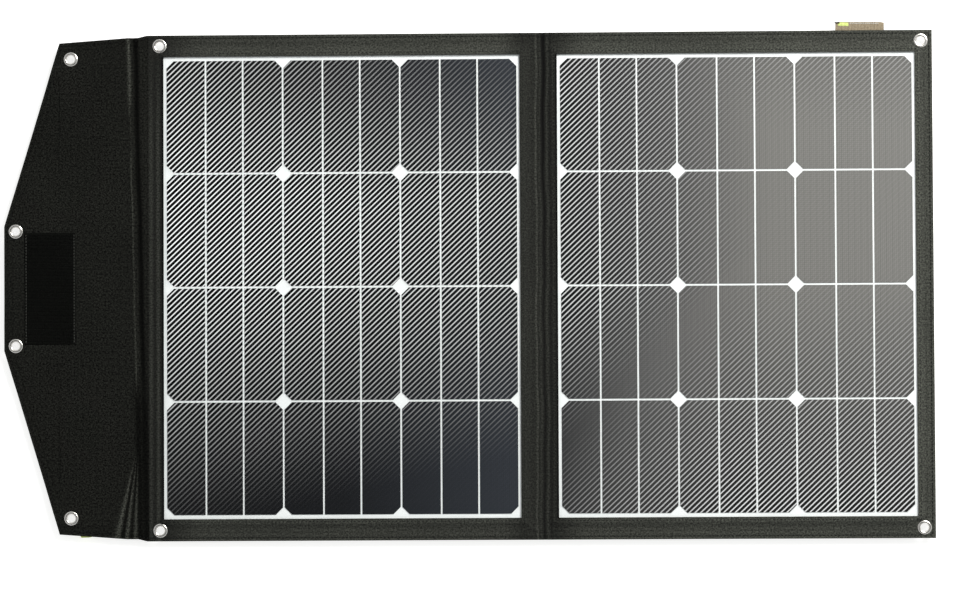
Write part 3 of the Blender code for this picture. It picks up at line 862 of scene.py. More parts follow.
# How far in from its edge the cloth is sewn, and how far in its edge is rounded off
SEAM_INSET = 0.0036
SECOND_SEAM_INSET = 0.0094
EDGE_ROUNDING = 0.0008


def node_rect(node: str) -> Rect:
    """A frame node's west, east, south and north sides."""
    low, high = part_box(node)
    return low.x, high.x, low.y, high.y


def node_centre(node: str) -> tuple[float, float]:
    """The middle of a frame node, as x and y."""
    west, east, south, north = node_rect(node)
    return 0.5 * (west + east), 0.5 * (south + north)


def hinge_x(joint: str) -> float:
    """The x of one of the frame's fold lines."""
    return next(entry["pos_m"][0] for entry in frame["joints"] if entry["name"] == joint)


@dataclass(frozen=True)
class ClothRelief:
    """Heights of the cloth over the whole panel. Neighbouring pieces read the same heights, so they meet
    with no step.
    """

    windows: tuple[Rect, ...]
    eyelets: tuple[tuple[float, float], ...]
    flap_eyelets: tuple[tuple[float, float], ...]
    level: float
    lip: float
    under: float
    south: float
    north: float
    east: float
    fold: float
    flap_root: float
    shoulder: float
    tip: float
    tip_half: float
    shoulder_half: float
    root_half: float

    @property
    def middle(self) -> float:
        """The y of the panel's long centre line."""
        return 0.5 * (self.south + self.north)

    def half_height(self, x: Array) -> Array:
        """Half the cloth's height at each x: straight runs between the flap's tip, shoulder and root, then
        the panel's own.
        """
        stations = [self.tip, self.shoulder, self.flap_root, self.flap_root + 0.012, self.flap_root + 0.022]
        halves = [
            self.tip_half,
            self.shoulder_half,
            self.root_half,
            self.root_half,
            0.5 * (self.north - self.south),
        ]
        return np.interp(x, stations, halves)

    def rim(self, x: Array, y: Array) -> Array:
        """How far each point is inside the cloth's outline: the gap to the slanting edge times the edge's
        cosine, or the gap to an end.
        """
        half = self.half_height(x)
        slope = (self.half_height(x + 1e-4) - self.half_height(x - 1e-4)) / 2e-4
        side = (half - np.abs(y - self.middle)) / np.sqrt(1.0 + slope**2)
        return np.minimum(np.minimum(side, self.east - x), x - self.tip)

    def beside_window(self, x: Array, y: Array) -> Array:
        """How far each point is outside the nearest window: the greatest of its distances past the four
        sides.
        """
        gaps = [np.maximum.reduce([w - x, x - e, s - y, y - n]) for w, e, s, n in self.windows]
        return np.minimum.reduce(gaps)

    def near_eyelet(self, x: Array, y: Array) -> Array:
        """The distance to the nearest eyelet's axis."""
        return np.minimum.reduce([np.hypot(x - a, y - b) for a, b in self.eyelets + self.flap_eyelets])

    def ridge(self, y: Array) -> Array:
        """The x of the crease where the flap leaves the panel. It slants from 1.8 mm inside the fold to 12
        mm over it.
        """
        return self.flap_root + 0.0018 + 0.0102 * (self.north - 0.033 - y) / 0.444

    def droop(self, x: Array, y: Array) -> Array:
        """How far the flap's cloth sags between its eyelets and its tape: up to 2.4 mm, more towards the
        rim and in two long waves.
        """
        out = ease(x, self.flap_root, self.flap_root - 0.06)
        free = ease(self.near_eyelet(x, y), 0.010, 0.055)
        wave = 0.55 + 0.45 * ripple(x, y, 5, 0.34, 0.12, 8)
        return 0.0024 * out * free * np.clip(wave, 0.0, 1.0) * ease(self.rim(x, y), 0.09, 0.0)

    def fan(self, x: Array, y: Array) -> Array:
        """Creases that fan out at the flap's lower root: bells in the angle round one point, which grow
        with the distance.
        """
        left, down = (self.flap_root + 0.0125) - x, (self.middle - 0.168) - y
        angle, far = np.arctan2(left, np.maximum(down, 1e-6)), np.hypot(left, down)
        bells = (
            1.0 * hump(angle, 0.215, 0.030)
            + 0.8 * hump(angle, 0.125, 0.024)
            + 0.6 * hump(angle, 0.04, 0.022)
        )
        bells = bells - 0.7 * hump(angle, 0.168, 0.020) - 0.5 * hump(angle, 0.083, 0.018)
        return 0.0011 * bells * ease(far, 0.008, 0.06) * (down > 0.0)

    def wander(self, y: Array) -> Array:
        """How far a crease strays from its straight line: the sum of two sine waves along Y."""
        return 0.0006 * np.sin(y * 31.0) + 0.0004 * np.sin(y * 83.0 + 1.3)

    def folds(self, x: Array, y: Array) -> Array:
        """Creases of both folds: bells across each crease's line, with a little wander along it."""
        wander = self.wander(y)
        c = self.fold + wander
        centre = -0.0010 * hump(x, c + 0.0022, 0.0015) - 0.0005 * hump(x, c - 0.0042, 0.0006)
        centre += (
            0.00035 * hump(x, c - 0.0012, 0.0016)
            + 0.0003 * hump(x, c + 0.0058, 0.0016)
            + 0.0002 * hump(x, c - 0.0072, 0.0014)
        )
        centre -= 0.0003 * hump(x, c - 0.0025, 0.0005) * (0.5 + 0.5 * np.sin(y * 47.0))
        r = self.ridge(y) + 0.5 * wander
        strength = 0.65 + 0.35 * np.sin(y * 13.0 + 0.6)
        flap = (
            0.0009 * strength * hump(x, r, 0.0012)
            - 0.0008 * hump(x, r + 0.0050, 0.0019)
            + 0.0004 * hump(x, r + 0.0105, 0.0016)
        )
        flap += 0.0005 * hump(
            x, self.flap_root + 0.0268, 0.0018
        ) - 0.0004 * hump(x, self.flap_root + 0.0215, 0.0016)
        fade = ease(y, self.middle - 0.150, self.middle - 0.215)
        return centre + flap * (1.0 - fade) + self.fan(x, y)

    def front(self, x: Array, y: Array) -> Array:
        """The upper face of the cloth.

        It is the flat level, plus the lip's rise near a window, plus creases and slow waves, less the
        hem's groove and the rounded outer edge. The rise falls by a smooth ramp over the laminate's edge,
        and steeply beside an eyelet.

        Args:
            x: Where to read it, along X.
            y: Where to read it, along Y.

        Returns:
            The heights.
        """
        gap, rim, eyelet = self.beside_window(x, y), self.rim(x, y), self.near_eyelet(x, y)
        full = self.lip - self.level
        ramp = 1.0 - ease(gap, 0.0030, 0.0125)
        core = 1.0 - ease(gap, 0.0033, 0.0046)
        rise = full * np.maximum(ramp * ease(eyelet, 0.0082, 0.0125), core)
        calm = ease(gap, 0.0035, 0.012) * ease(eyelet, 0.009, 0.016)
        slow = 0.00022 * ripple(x, y, 11, 0.11, 0.024) + 0.00008 * ripple(x, y, 12, 0.02, 0.008)
        pucker = 0.00010 * np.sin(y * 2300.0 + 3.0 * np.sin(x * 90.0)) * hump(gap, SEAM_INSET, 0.0012)
        pucker = pucker + 0.00010 * np.sin((x + y) * 1900.0) * hump(rim, SEAM_INSET, 0.0015)
        groove = (
            -0.00022 * hump(gap, SEAM_INSET, 0.0008)
            - 0.00028 * hump(rim, SEAM_INSET, 0.0008)
            - 0.00020 * hump(rim, SECOND_SEAM_INSET, 0.0006)
        )
        rounded = -0.0004 * (1.0 - np.sqrt(1.0 - (1.0 - np.clip(rim / EDGE_ROUNDING, 0.0, 1.0)) ** 2))
        inner = -0.0003 * hump(gap, 0.0, 0.0004)
        folds = self.folds(x, y) * ease(eyelet, 0.009, 0.018)
        return (
            self.level
            + rise
            + (slow + folds) * calm
            + (pucker + groove) * ease(eyelet, 0.009, 0.013)
            + rounded
            + inner
            - self.droop(x, y)
        )

    def painted_light_and_wear(self, x: Array, y: Array) -> Array:
        """How much paler the cloth is painted than its own tone: 1 is twice as pale, and -1 is black.

        The creases' ridges carry a painted highlight and their grooves painted shade. The seams' grooves get
        painted shade, and a painted shadow of the lip runs along each window's west edge. The hems' outer
        edges and the window seams are worn pale. Each is a bell across its line, and its strength changes
        along Y.
        """
        wander = self.wander(y)
        c, r, root = self.fold + wander, self.ridge(y) + 0.5 * wander, self.flap_root
        upper = ease(y, self.middle - 0.06, self.north - 0.03)
        # Painted highlight on the centre fold's ridges and painted shade in its grooves.
        centre = (
            1.1 * hump(x, c - 0.0056, 0.0011)
            + 0.5 * hump(x, c + 0.0068, 0.0012)
            + 0.4 * hump(x, c - 0.0012, 0.0012)
        )
        centre -= (0.60 + 0.35 * upper) * hump(
            x, c + 0.0022, 0.0020 + 0.0012 * upper
        ) + 0.35 * hump(x, c + 0.0105, 0.0016)
        high, low = ease(
            y, self.middle - 0.125, self.middle - 0.085
        ), ease(y, self.middle - 0.085, self.middle - 0.135)
        strong, thin = ease(
            y, self.middle + 0.185, self.middle + 0.225
        ), ease(y, self.middle + 0.165, self.middle + 0.135)
        # Painted highlight along the flap crease's ridges and painted shade in the hollows beside them.
        flap = (
            (3.6 * strong + 0.3) * hump(x, r, 0.0017)
            + 1.8 * thin * high * hump(x, r, 0.0008)
            - 0.85 * low * hump(x, r, 0.0026)
        )
        flap += (
            1.2 * hump(x, root + 0.0263, 0.0020) + 2.2 * hump(x, root + 0.0345, 0.0018)
        ) * ease(y, self.north, self.middle + 0.15)
        flap -= 0.8 * hump(x, r + 0.0085, 0.0030) * high + 0.7 * hump(x, r + 0.0080, 0.0060) * low
        # Painted highlight on the fanned creases' ridges and painted shade between them.
        crease = self.fan(x, y) / 0.0011
        crease = 3.4 * np.maximum(crease, 0.0) + np.minimum(crease, 0.0)
        gap, rim = self.beside_window(x, y), self.rim(x, y)
        # Wear pales the hems' outer edges and the window seams, and painted shade darkens the hems' seam
        # grooves.
        edges = (
            0.35 * hump(rim, 0.0010, 0.0008)
            - 0.35 * hump(rim, SEAM_INSET, 0.0010)
            + 0.30 * hump(gap, SEAM_INSET, 0.0017)
        )
        edges -= 0.25 * hump(rim, SECOND_SEAM_INSET, 0.0008)
        # Painted shadow of the lip along each window's west edge.
        for west, _, south, north in self.windows:
            edges -= 0.95 * hump(x, west - 0.0010, 0.0017) * (y > south - 0.001) * (y < north + 0.001)
        return np.maximum(centre + flap + crease + edges, -0.9)

    def back(self, x: Array, y: Array, base: float) -> Array:
        """The lower face of cloth whose flat lower level is base: the flap's droop, faint waves and a
        rounded outer edge.
        """
        rim, eyelet = self.rim(x, y), self.near_eyelet(x, y)
        rounded = 0.0004 * (1.0 - np.sqrt(1.0 - (1.0 - np.clip(rim / EDGE_ROUNDING, 0.0, 1.0)) ** 2))
        groove = 0.00025 * hump(rim, SEAM_INSET, 0.0008)
        slow = 0.00012 * ripple(x, y, 21, 0.12, 0.03) * ease(eyelet, 0.009, 0.02)
        return base + slow + rounded + groove - self.droop(x, y)


def relief_of_frame() -> ClothRelief:
    """Reads the relief's sizes off the frame. The border's lip laps 3 mm over the film, so a window is the
    film less that.
    """
    lap = 0.003
    films = [node_rect(f"{side.value}_front_film") for side in Side]
    windows = tuple((w + lap, e - lap, s + lap, n - lap) for w, e, s, n in films)
    low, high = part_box("left_front_border")
    outline = np.array([v.co for v in frame["nodes"]["flap_outer"].data.vertices])
    middle = 0.5 * (low.y + high.y)
    tip = outline[outline[:, 0] < outline[:, 0].min() + 0.0005]
    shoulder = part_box("flap_eyelet_shoulder_top")[0].x - 0.005
    return ClothRelief(
        windows=windows,
        eyelets=tuple(
            node_centre(f"{side.value}_eyelet_{end}") for side in Side for end in ("top", "bottom")
        ),
        flap_eyelets=tuple(
            node_centre(f"flap_eyelet_{row}_{end}")
            for row in ("shoulder", "tip")
            for end in ("top", "bottom")
        ),
        level=low.z + 0.0008,
        lip=high.z,
        under=low.z,
        south=low.y,
        north=high.y,
        east=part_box("right_front_border")[1].x,
        fold=0.5 * (hinge_x("centre_spine_fold") + hinge_x("right_panel_fold")),
        flap_root=hinge_x("flap_fold"),
        shoulder=shoulder,
        tip=outline[:, 0].min(),
        tip_half=float(np.abs(tip[:, 1] - middle).max()),
        shoulder_half=0.2745,
        root_half=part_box("flap_spine_strip")[1].y - middle,
    )


# ---------------------------------------------------------------------------------------------------------
# Sub-assemblies
# ---------------------------------------------------------------------------------------------------------


def sew(
    name: str, runs: list[Array], relief: ClothRelief, pitch: float = 0.0042, length: float = 0.0023
) -> Thing:
    """Rows of stitches on the cloth's upper face, each lying along its row and sunk by half its height.

    Args:
        name: The piece's name.
        runs: Each row as points of x and y.
        relief: The cloth's heights.
        pitch: From one stitch to the next.
        length: One stitch's length.

    Returns:
        The stitches, in one piece.
    """
    found = [spaced(run, pitch) for run in runs]
    flat, ahead = np.concatenate([f[0] for f in found]), np.concatenate([f[1] for f in found])
    clear = relief.near_eyelet(flat[:, 0], flat[:, 1]) > 0.0092
    flat, ahead = flat[clear], ahead[clear]
    height = relief.front(flat[:, 0], flat[:, 1]) + 0.00012
    points, faces = stitch_shape(length, 0.0010, 0.0006)
    along = np.column_stack([ahead, np.zeros(len(ahead))])
    return repeat_shape(name, points, faces, np.column_stack([flat, height]), along)


def bend(thing: Thing) -> Thing:
    """Bakes a piece's placement into its mesh, and puts it on no body."""
    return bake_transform(thing)


@dataclass(frozen=True)
class EyeletSection:
    """The section of an eyelet and its washer: a barrel between two rolled flanges. Sizes are in
    millimetres.
    """

    hole: float = 4.5
    barrel: float = 5.05
    rim: float = 8.0
    grip: float = 1.0
    crown: float = 1.05

    def profile(self) -> Array:
        """The closed section, as rows of radius and height in metres.

        Each flange is a half ellipse from the hole to the rim: at t from 0 to pi its radius is the middle
        less half the width times the cosine, and its height is the grip plus the crown times the sine. The
        lower one is its mirror.
        """
        turn = np.linspace(0.0, math.pi, 11)
        width = self.rim - self.hole
        flange = np.column_stack(
            [self.hole + 0.5 * width * (1.0 - np.cos(turn)), self.grip + self.crown * np.sin(turn)]
        )
        barrel = np.array([[self.barrel, self.grip], [self.barrel, -self.grip]])
        return np.concatenate([flange, barrel, flange[::-1] * [1.0, -1.0]]) * MM


def make_eyelet(node: str, body: str, metal: bpy.types.Material) -> Thing:
    """An eyelet with its washer: a rolled flange above and below the cloth, turned from one closed profile.

    Args:
        node: The frame's own eyelet, whose place and middle height it takes.
        body: The body that it moves with.
        metal: Its finish.

    Returns:
        The eyelet.
    """
    low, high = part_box(node)
    profile = EyeletSection().profile() + [0.0, 0.5 * (low.z + high.z)]
    piece = turned_ring(f"{node}_turned", profile, node_centre(node))
    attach(piece, body)
    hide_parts(node)
    return dress(piece, metal)


@dataclass
class PanelFront:
    """One stiff panel: cloth border and back, laminate, wafers, eyelets and junction box."""

    side: Side
    relief: ClothRelief
    west: float
    east: float
    finishes: dict[str, bpy.types.Material]
    border_slot: str = "border_cloth"
    strip_gap: float = 0.002
    middle_strip: float = 0.0397
    corner: float = 0.008
    made: list[Thing] = field(default_factory=list)

    @property
    def body(self) -> str:
        """The frame's body that the panel rides on."""
        return f"{self.side.value}_panel"

    @property
    def window(self) -> Rect:
        """This panel's window."""
        return self.relief.windows[0 if self.side is Side.LEFT else 1]

    def keep(self, piece: Thing, finish: str, slot: str, *nodes: str) -> Thing:
        """Puts a piece on the panel's body, in its finish, for the nodes that it stands for."""
        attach(piece, self.body)
        if nodes:
            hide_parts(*nodes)
        self.made.append(dress(piece, self.finishes[finish]))
        return piece

    def ring_grid(self, inside: float = 0.0, outside: float | None = None) -> tuple[Array, Array]:
        """Nested rectangles round the window, from its edge to the cloth's outer edge.

        Ring k's four sides stand off the window by that side's k-th distance. The first distances are the
        same on all four, so that the lip keeps its section, and the rest share out what is left of each
        side's own width.

        Args:
            inside: Where the first ring starts, past the window's edge.
            outside: A single width for all four sides, or None for the cloth's own.

        Returns:
            The grid's x and y, a row for each ring.
        """
        west, east, south, north = self.window
        widths = [west - self.west, self.east - east, south - self.relief.south, self.relief.north - north]
        near = np.array([0.0, 0.35, 0.8, 1.5, 2.4, 3.2, 3.6, 4.1, 4.8, 5.6, 6.6]) * MM
        share = np.linspace(0.0, 1.0, 15)[1:-1]
        if outside is None:
            off = [
                np.concatenate(
                    [near, near[-1] + (w - near[-1] - MM) * share, [w - 0.5 * MM, w - 0.2 * MM, w]]
                ) for w in widths
            ]
        else:
            off = [np.linspace(inside, outside, 7)] * 4
        turn = [np.linspace(0.0, 1.0, n, endpoint=False) for n in (190, 240, 190, 240)]
        a = np.concatenate([turn[0], np.ones(240), 1.0 - turn[2], np.zeros(240)])
        b = np.concatenate([np.zeros(190), turn[1], np.ones(190), 1.0 - turn[3]])
        left, right, low, high = west - off[0], east + off[1], south - off[2], north + off[3]
        return left[:, None] + (right - left)[:, None] * a, low[:, None] + (high - low)[:, None] * b

    def make_border(self) -> None:
        """The woven border: one ring of cloth, lapped over the laminate's edge and sewn down round it.

        Its lower face stands over the film under the lip and drops to the cloth's lower level outside the
        laminate.
        """
        relief = self.relief
        x, y = self.ring_grid()
        gap, rim = relief.beside_window(x, y), relief.rim(x, y)
        drop = (relief.lip - 0.0008 - relief.under) * ease(gap, 0.0033, 0.0038)
        bottom = relief.lip - 0.0008 - drop - 0.0002 * (1.0 - ease(rim, 0.002, 0.004))
        piece = closed_sheet(
            f"{self.side.value}_border_cloth", x, y, relief.front(x, y), bottom, True, relief.painted_light_and_wear(x, y)
        )
        pierce(piece, [e for e in relief.eyelets if self.west < e[0] < self.east], 0.0052)
        self.keep(piece, "border", self.border_slot, f"{self.side.value}_front_border")

    def make_piping(self) -> None:
        """A narrow strip of the cloth bound over the lip's inner edge: an arch in section, 1.3 mm wide and
        0.25 mm proud.
        """
        x, y = self.ring_grid(-0.0001, 0.0013)
        arch = np.sin(np.linspace(0.0, math.pi, 7))[:, None] + 0.0 * x
        top = self.relief.lip + 0.00002 + 0.00025 * arch
        bottom = 0.0 * x + self.relief.lip - 0.0006
        piece = closed_sheet(
            f"{self.side.value}_window_piping", x, y, top, bottom, True, self.relief.painted_light_and_wear(x, y)
        )
        self.keep(piece, "border", self.border_slot)

    def make_back(self) -> None:
        """The back cloth: a sheet over a plain grid, with a sewn channel round the board and holes for the
        eyelets.
        """
        low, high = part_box(f"{self.side.value}_back_cover")
        relief = self.relief
        u = np.concatenate([[0.0, 0.0006, 0.0016], np.linspace(0.004, 0.996, 96), [0.9984, 0.9994, 1.0]])
        x, y = np.meshgrid(
            self.west + (self.east - self.west) * u,
            relief.south + (relief.north - relief.south) * u,
            indexing="ij",
        )
        gap = relief.beside_window(x, y)
        channel = 0.0003 * hump(gap, 0.0045, 0.0012)
        bottom = relief.back(x, y, low.z + 0.00005) + channel
        top = 0.0 * x + high.z - 0.0002 * (1.0 - ease(relief.rim(x, y), 0.0, 0.001))
        piece = closed_sheet(f"{self.side.value}_back_cloth", x, y, top, bottom)
        pierce(piece, [e for e in relief.eyelets if self.west < e[0] < self.east], 0.0052)
        self.keep(piece, "back", "back_cloth", f"{self.side.value}_back_cover")

    def make_seams(self) -> None:
        """Stitch rows round the window and along the hems, and the long row beside the centre fold."""
        west, east, south, north = self.window
        off, hem = 0.0034, 0.0036
        box = [
            (west - off, south - off),
            (east + off, south - off),
            (east + off, north + off),
            (west - off, north + off),
            (west - off, south - off),
        ]
        lines = [box]
        for y in (self.relief.south + hem, self.relief.north - hem):
            lines.append([(self.west, y), (min(self.east, self.relief.east - hem), y)])
        if self.side is Side.RIGHT:
            x = self.relief.east - hem
            lines.append([(x, self.relief.south + hem), (x, self.relief.north - hem)])
        fold_x = east + off if self.side is Side.LEFT else west - off
        lines.append([(fold_x, self.relief.south + hem), (fold_x, south - off)])
        lines.append([(fold_x, north + off), (fold_x, self.relief.north - hem)])
        piece = sew(f"{self.side.value}_seam_stitches", [np.array(line) for line in lines], self.relief)
        self.keep(piece, "thread", self.border_slot)

    def make_wafers(self) -> None:
        """Twelve wafers, each cut in three strips. A strip is its outline's prism, and outer corners are
        cut off at 45 degrees.
        """
        for row in (1, 2, 3, 4):
            for column in (1, 2, 3):
                node = f"{self.side.value}_wafer_{row}_{column}"
                low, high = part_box(node)
                side = 0.5 * (high.x - low.x - self.middle_strip) - self.strip_gap
                x1, x2, c = low.x + side, low.x + side + self.strip_gap, self.corner
                x3, x4 = high.x - side - self.strip_gap, high.x - side
                outlines = [
                    [
                        (low.x + c, low.y),
                        (x1, low.y),
                        (x1, high.y),
                        (low.x + c, high.y),
                        (low.x, high.y - c),
                        (low.x, low.y + c),
                    ],
                    [(x2, low.y), (x3, low.y), (x3, high.y), (x2, high.y)],
                    [
                        (x4, low.y),
                        (high.x - c, low.y),
                        (high.x, low.y + c),
                        (high.x, high.y - c),
                        (high.x - c, high.y),
                        (x4, high.y),
                    ],
                ]
                points, faces, first = [], [], 0
                for outline in outlines:
                    flat, n = np.array(outline), len(outline)
                    points += [
                        np.column_stack([flat, np.full(n, low.z)]),
                        np.column_stack([flat, np.full(n, high.z)]),
                    ]
                    ring = np.arange(n)
                    after = (ring + 1) % n
                    faces += [ring[None, ::-1] + first, ring[None] + first + n]
                    faces += [np.stack([ring, after, after + n, ring + n], 1) + first]
                    first += 2 * n
                piece = make_piece(f"{node}_strips", np.concatenate(points), faces)
                self.keep(piece, "wafer", "wafer", node)

    def dress_frame_nodes(self) -> None:
        """Finishes for the frame's own laminate sheets, ribbon and junction box, whose shapes stay as they
        are.
        """
        for node, finish in (
            ("core_board", "board"),
            ("backsheet", "backsheet"),
            ("bus_ribbon", "ribbon"),
            ("front_film", "film"),
            ("junction_box", "moulding"),
            ("junction_lid", "lid"),
        ):
            dress(frame["nodes"][f"{self.side.value}_{node}"], self.finishes[finish])

    def build(self) -> None:
        """Builds and dresses the whole panel."""
        self.make_border()
        self.make_piping()
        self.make_back()
        self.make_seams()
        self.make_wafers()
        for end in ("top", "bottom"):
            self.made.append(
                make_eyelet(f"{self.side.value}_eyelet_{end}", self.body, self.finishes["eyelet"])
            )
        self.dress_frame_nodes()
        for piece in self.made:
            LOG.info("panel %s: %s, %d faces", self.side.value, piece.name, len(piece.data.polygons))


@dataclass
class FoldCloth:
    """A fold: two strips of doubled cloth, one each side of the fold's middle line, with the seams that
    cross them.
    """

    name: str
    relief: ClothRelief
    chain: tuple[str, str, str]
    edges: tuple[float, float, float]
    node: str
    cloth: bpy.types.Material
    thread: bpy.types.Material
    slot: str
    crossings: tuple[float, ...] = ()

    def build(self) -> None:
        """Builds both strips.

        A strip is a grid between two x values and the cloth's own hems. Its faces stand at the relief's
        two heights, so it carries on the panel's face and back, creases and all.
        """
        relief = self.relief
        edge = np.array([0.0, 0.0008, 0.0022, 0.006])
        share = np.concatenate([edge, np.linspace(0.012, 0.988, 250), 1.0 - edge[::-1]])
        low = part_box(self.node)[0].z + 0.00005
        for part in (0, 1):
            west, east = self.edges[part], self.edges[part + 1]
            x, s = np.meshgrid(np.linspace(west, east, 30), share, indexing="ij")
            y = relief.middle + relief.half_height(x) * (2.0 * s - 1.0)
            piece = closed_sheet(
                f"{self.name}_cloth_{part + 1}",
                x,
                y,
                relief.front(x, y),
                relief.back(x, y, low),
                painted_light_and_wear=relief.painted_light_and_wear(x, y),
            )
            if part == 0:
                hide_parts(self.node)
            dress(piece, self.cloth)
            bend(piece)
            stations = np.linspace(west, east, 12)
            hem = relief.half_height(stations) - 0.0036
            runs = [
                np.column_stack([stations, relief.middle + hem]),
                np.column_stack([stations, relief.middle - hem]),
            ]
            runs += [np.array([(west, y_line), (east, y_line)]) for y_line in self.crossings]
            seam = sew(f"{self.name}_stitches_{part + 1}", runs, relief)
            dress(seam, self.thread)
            bend(seam)
            LOG.info("%s: strip %d, %d faces", self.name, part + 1, len(piece.data.polygons))


def inset_run(corners: Array, distance: float) -> Array:
    """A line of straight runs moved sideways: each run shifts along its left normal, and neighbours meet
    where they cross.
    """
    step = np.diff(corners, axis=0)
    step = step / np.linalg.norm(step, axis=1)[:, None]
    normal = np.column_stack([-step[:, 1], step[:, 0]])
    start = corners[:-1] + normal * distance
    cross = step[:-1, 0] * step[1:, 1] - step[:-1, 1] * step[1:, 0]
    gap = start[1:] - start[:-1]
    reach = (gap[:, 0] * step[1:, 1] - gap[:, 1] * step[1:, 0]) / cross
    inner = start[:-1] + step[:-1] * reach[:, None]
    return np.concatenate([start[:1], inner, corners[-1:] + normal[-1:] * distance])


@dataclass
class ClosingFlap:
    """The trapezoid flap: a doubled cloth with four eyelets, a patch of hook tape and a small side tab."""

    relief: ClothRelief
    root: float
    finishes: dict[str, bpy.types.Material]
    body: str = "flap"
    hook_pitch: float = 0.0021
    selvage: float = 0.0032

    def keep(self, piece: Thing, finish: str, slot: str, *nodes: str) -> Thing:
        """Puts a piece on the flap's body, in its finish, for the nodes that it stands for."""
        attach(piece, self.body)
        if nodes:
            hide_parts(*nodes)
        LOG.info("flap: %s, %d faces", piece.name, len(piece.data.polygons))
        return dress(piece, self.finishes[finish])

    def make_cloth(self) -> None:
        """The flap's cloth. Its grid runs from the root to the tip, and each column spans the outline at
        its own x.
        """
        relief = self.relief
        stations = np.concatenate([
            np.linspace(self.root, relief.shoulder, 72), np.linspace(
                relief.shoulder, relief.tip + 0.002, 60
            )[1:],
            relief.tip + np.array([0.0013, 0.0008, 0.0004, 0.0001, 0.0]),
        ])
        edge = np.array([0.0, 0.0003, 0.0008, 0.0015, 0.0035, 0.007])
        share = np.concatenate([edge, np.linspace(0.011, 0.989, 190), 1.0 - edge[::-1]])
        x, s = np.meshgrid(stations, share, indexing="ij")
        y = relief.middle + relief.half_height(x) * (2.0 * s - 1.0)
        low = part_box("flap_outer")[0].z + 0.00005
        piece = closed_sheet(
            "flap_cloth", x, y, relief.front(x, y), relief.back(x, y, low), painted_light_and_wear=relief.painted_light_and_wear(x, y)
        )
        pierce(piece, list(relief.flap_eyelets), 0.0052)
        self.keep(piece, "flap", "flap_cloth", "flap_outer", "flap_lining")
        root_side, tip_side = self.root - relief.shoulder, relief.shoulder - relief.tip
        area = (relief.half_height(np.array(self.root)) + relief.shoulder_half) * root_side
        area = float(area + (relief.shoulder_half + relief.tip_half) * tip_side)
        2.0 * float(relief.half_height(np.array(self.root)))

    def make_hem(self) -> None:
        """A stitch row along the flap's three free sides, 3.6 mm inside the outline."""
        relief, m = self.relief, self.relief.middle
        half = float(relief.half_height(np.array(self.root)))
        corners = np.array([
            (self.root, m + half), (
                relief.shoulder, m + relief.shoulder_half
            ), (relief.tip, m + relief.tip_half),
            (relief.tip, m - relief.tip_half), (
                relief.shoulder, m - relief.shoulder_half
            ), (self.root, m - half),
        ])
        self.keep(
            sew("flap_hem_stitches", [inset_run(corners, 0.0036)], relief), "dark_thread", "flap_cloth"
        )

    def make_hook_patch(self) -> None:
        """The hook patch: a thin woven tape that follows the cloth, and rows of small bent hooks between
        its plain edges.

        A hook is a square bar carried along a quarter turn that leans over: its path is (r - r cos t, 0, h
        + r sin t) past a straight foot. The hooks are drawn a third larger than real ones, so that their
        rows show.
        """
        relief = self.relief
        west, east, south, north = node_rect("hook_patch")
        u, v = np.linspace(0.0, 1.0, 48), np.linspace(0.0, 1.0, 96)
        x, y = np.meshgrid(west + (east - west) * u, south + (north - south) * v, indexing="ij")
        skin = relief.front(x, y)
        edge = np.minimum(np.minimum(x - west, east - x), np.minimum(y - south, north - y))
        weave = 0.00006 * np.sin(y * 3100.0) * ease(edge, 0.0, 0.001)
        top = skin + 0.00062 - 0.0003 * (1.0 - ease(edge, 0.0, 0.0012)) + weave
        self.keep(
            closed_sheet("hook_patch_tape", x, y, top, skin + 0.00003),
            "hook_tape",
            "hook_tape",
            "hook_patch",
        )
        turn = np.linspace(0.0, 0.9 * math.pi, 5)
        path = np.column_stack([0.38 - 0.38 * np.cos(turn), 0.0 * turn, 0.62 + 0.38 * np.sin(turn)])
        path = np.concatenate([[[0.0, 0.0, 0.0]], path]) * MM
        offset = np.array(
            [[-0.13, -0.16, 0.0], [0.13, -0.16, 0.0], [0.13, 0.16, 0.0], [-0.13, 0.16, 0.0]]
        ) * MM
        taper = np.linspace(1.0, 0.7, len(path))[:, None, None]
        points = (path[:, None, :] + offset[None] * taper).reshape(-1, 3)
        last = 4 * (len(path) - 1)
        faces = [
            grid_quads(len(path), 4, wrap_columns=True),
            np.array([[3, 2, 1, 0], [last, last + 1, last + 2, last + 3]]),
        ]
        gx = np.arange(west + self.selvage + 0.001, east - self.selvage, self.hook_pitch)
        gy = np.arange(south + 0.0022, north - 0.0016, self.hook_pitch)
        hx, hy = (g.ravel() for g in np.meshgrid(gx, gy, indexing="ij"))
        draw = np.random.default_rng(3)
        hx, hy = hx + draw.normal(0.0, 0.00012, hx.size), hy + draw.normal(0.0, 0.00008, hy.size)
        lean = draw.normal(0.0, 0.28, hx.size) + np.where(draw.random(hx.size) < 0.5, 0.0, math.pi)
        along = np.column_stack([np.cos(lean), np.sin(lean), 0.0 * lean])
        places = np.column_stack([hx, hy, relief.front(hx, hy) + 0.0006])
        self.keep(repeat_shape("hook_patch_hooks", points, faces, places, along), "hooks", "hook_tape")
        inner = 0.0016
        sides = [
            spaced(
                np.array([(x_line, south + inner), (x_line, north - inner)]), 0.0034
            ) for x_line in (west + inner, east - inner)
        ]
        flat, ahead = (np.concatenate(rows) for rows in zip(*sides))
        height = relief.front(flat[:, 0], flat[:, 1]) + 0.00066
        shape = stitch_shape(0.0026, 0.0007, 0.0005)
        seam = repeat_shape(
            "hook_patch_stitches",
            *shape,
            np.column_stack([flat, height]),
            np.column_stack([ahead, 0.0 * ahead[:, 0]]),
        )
        self.keep(seam, "grey_thread", "hook_tape")

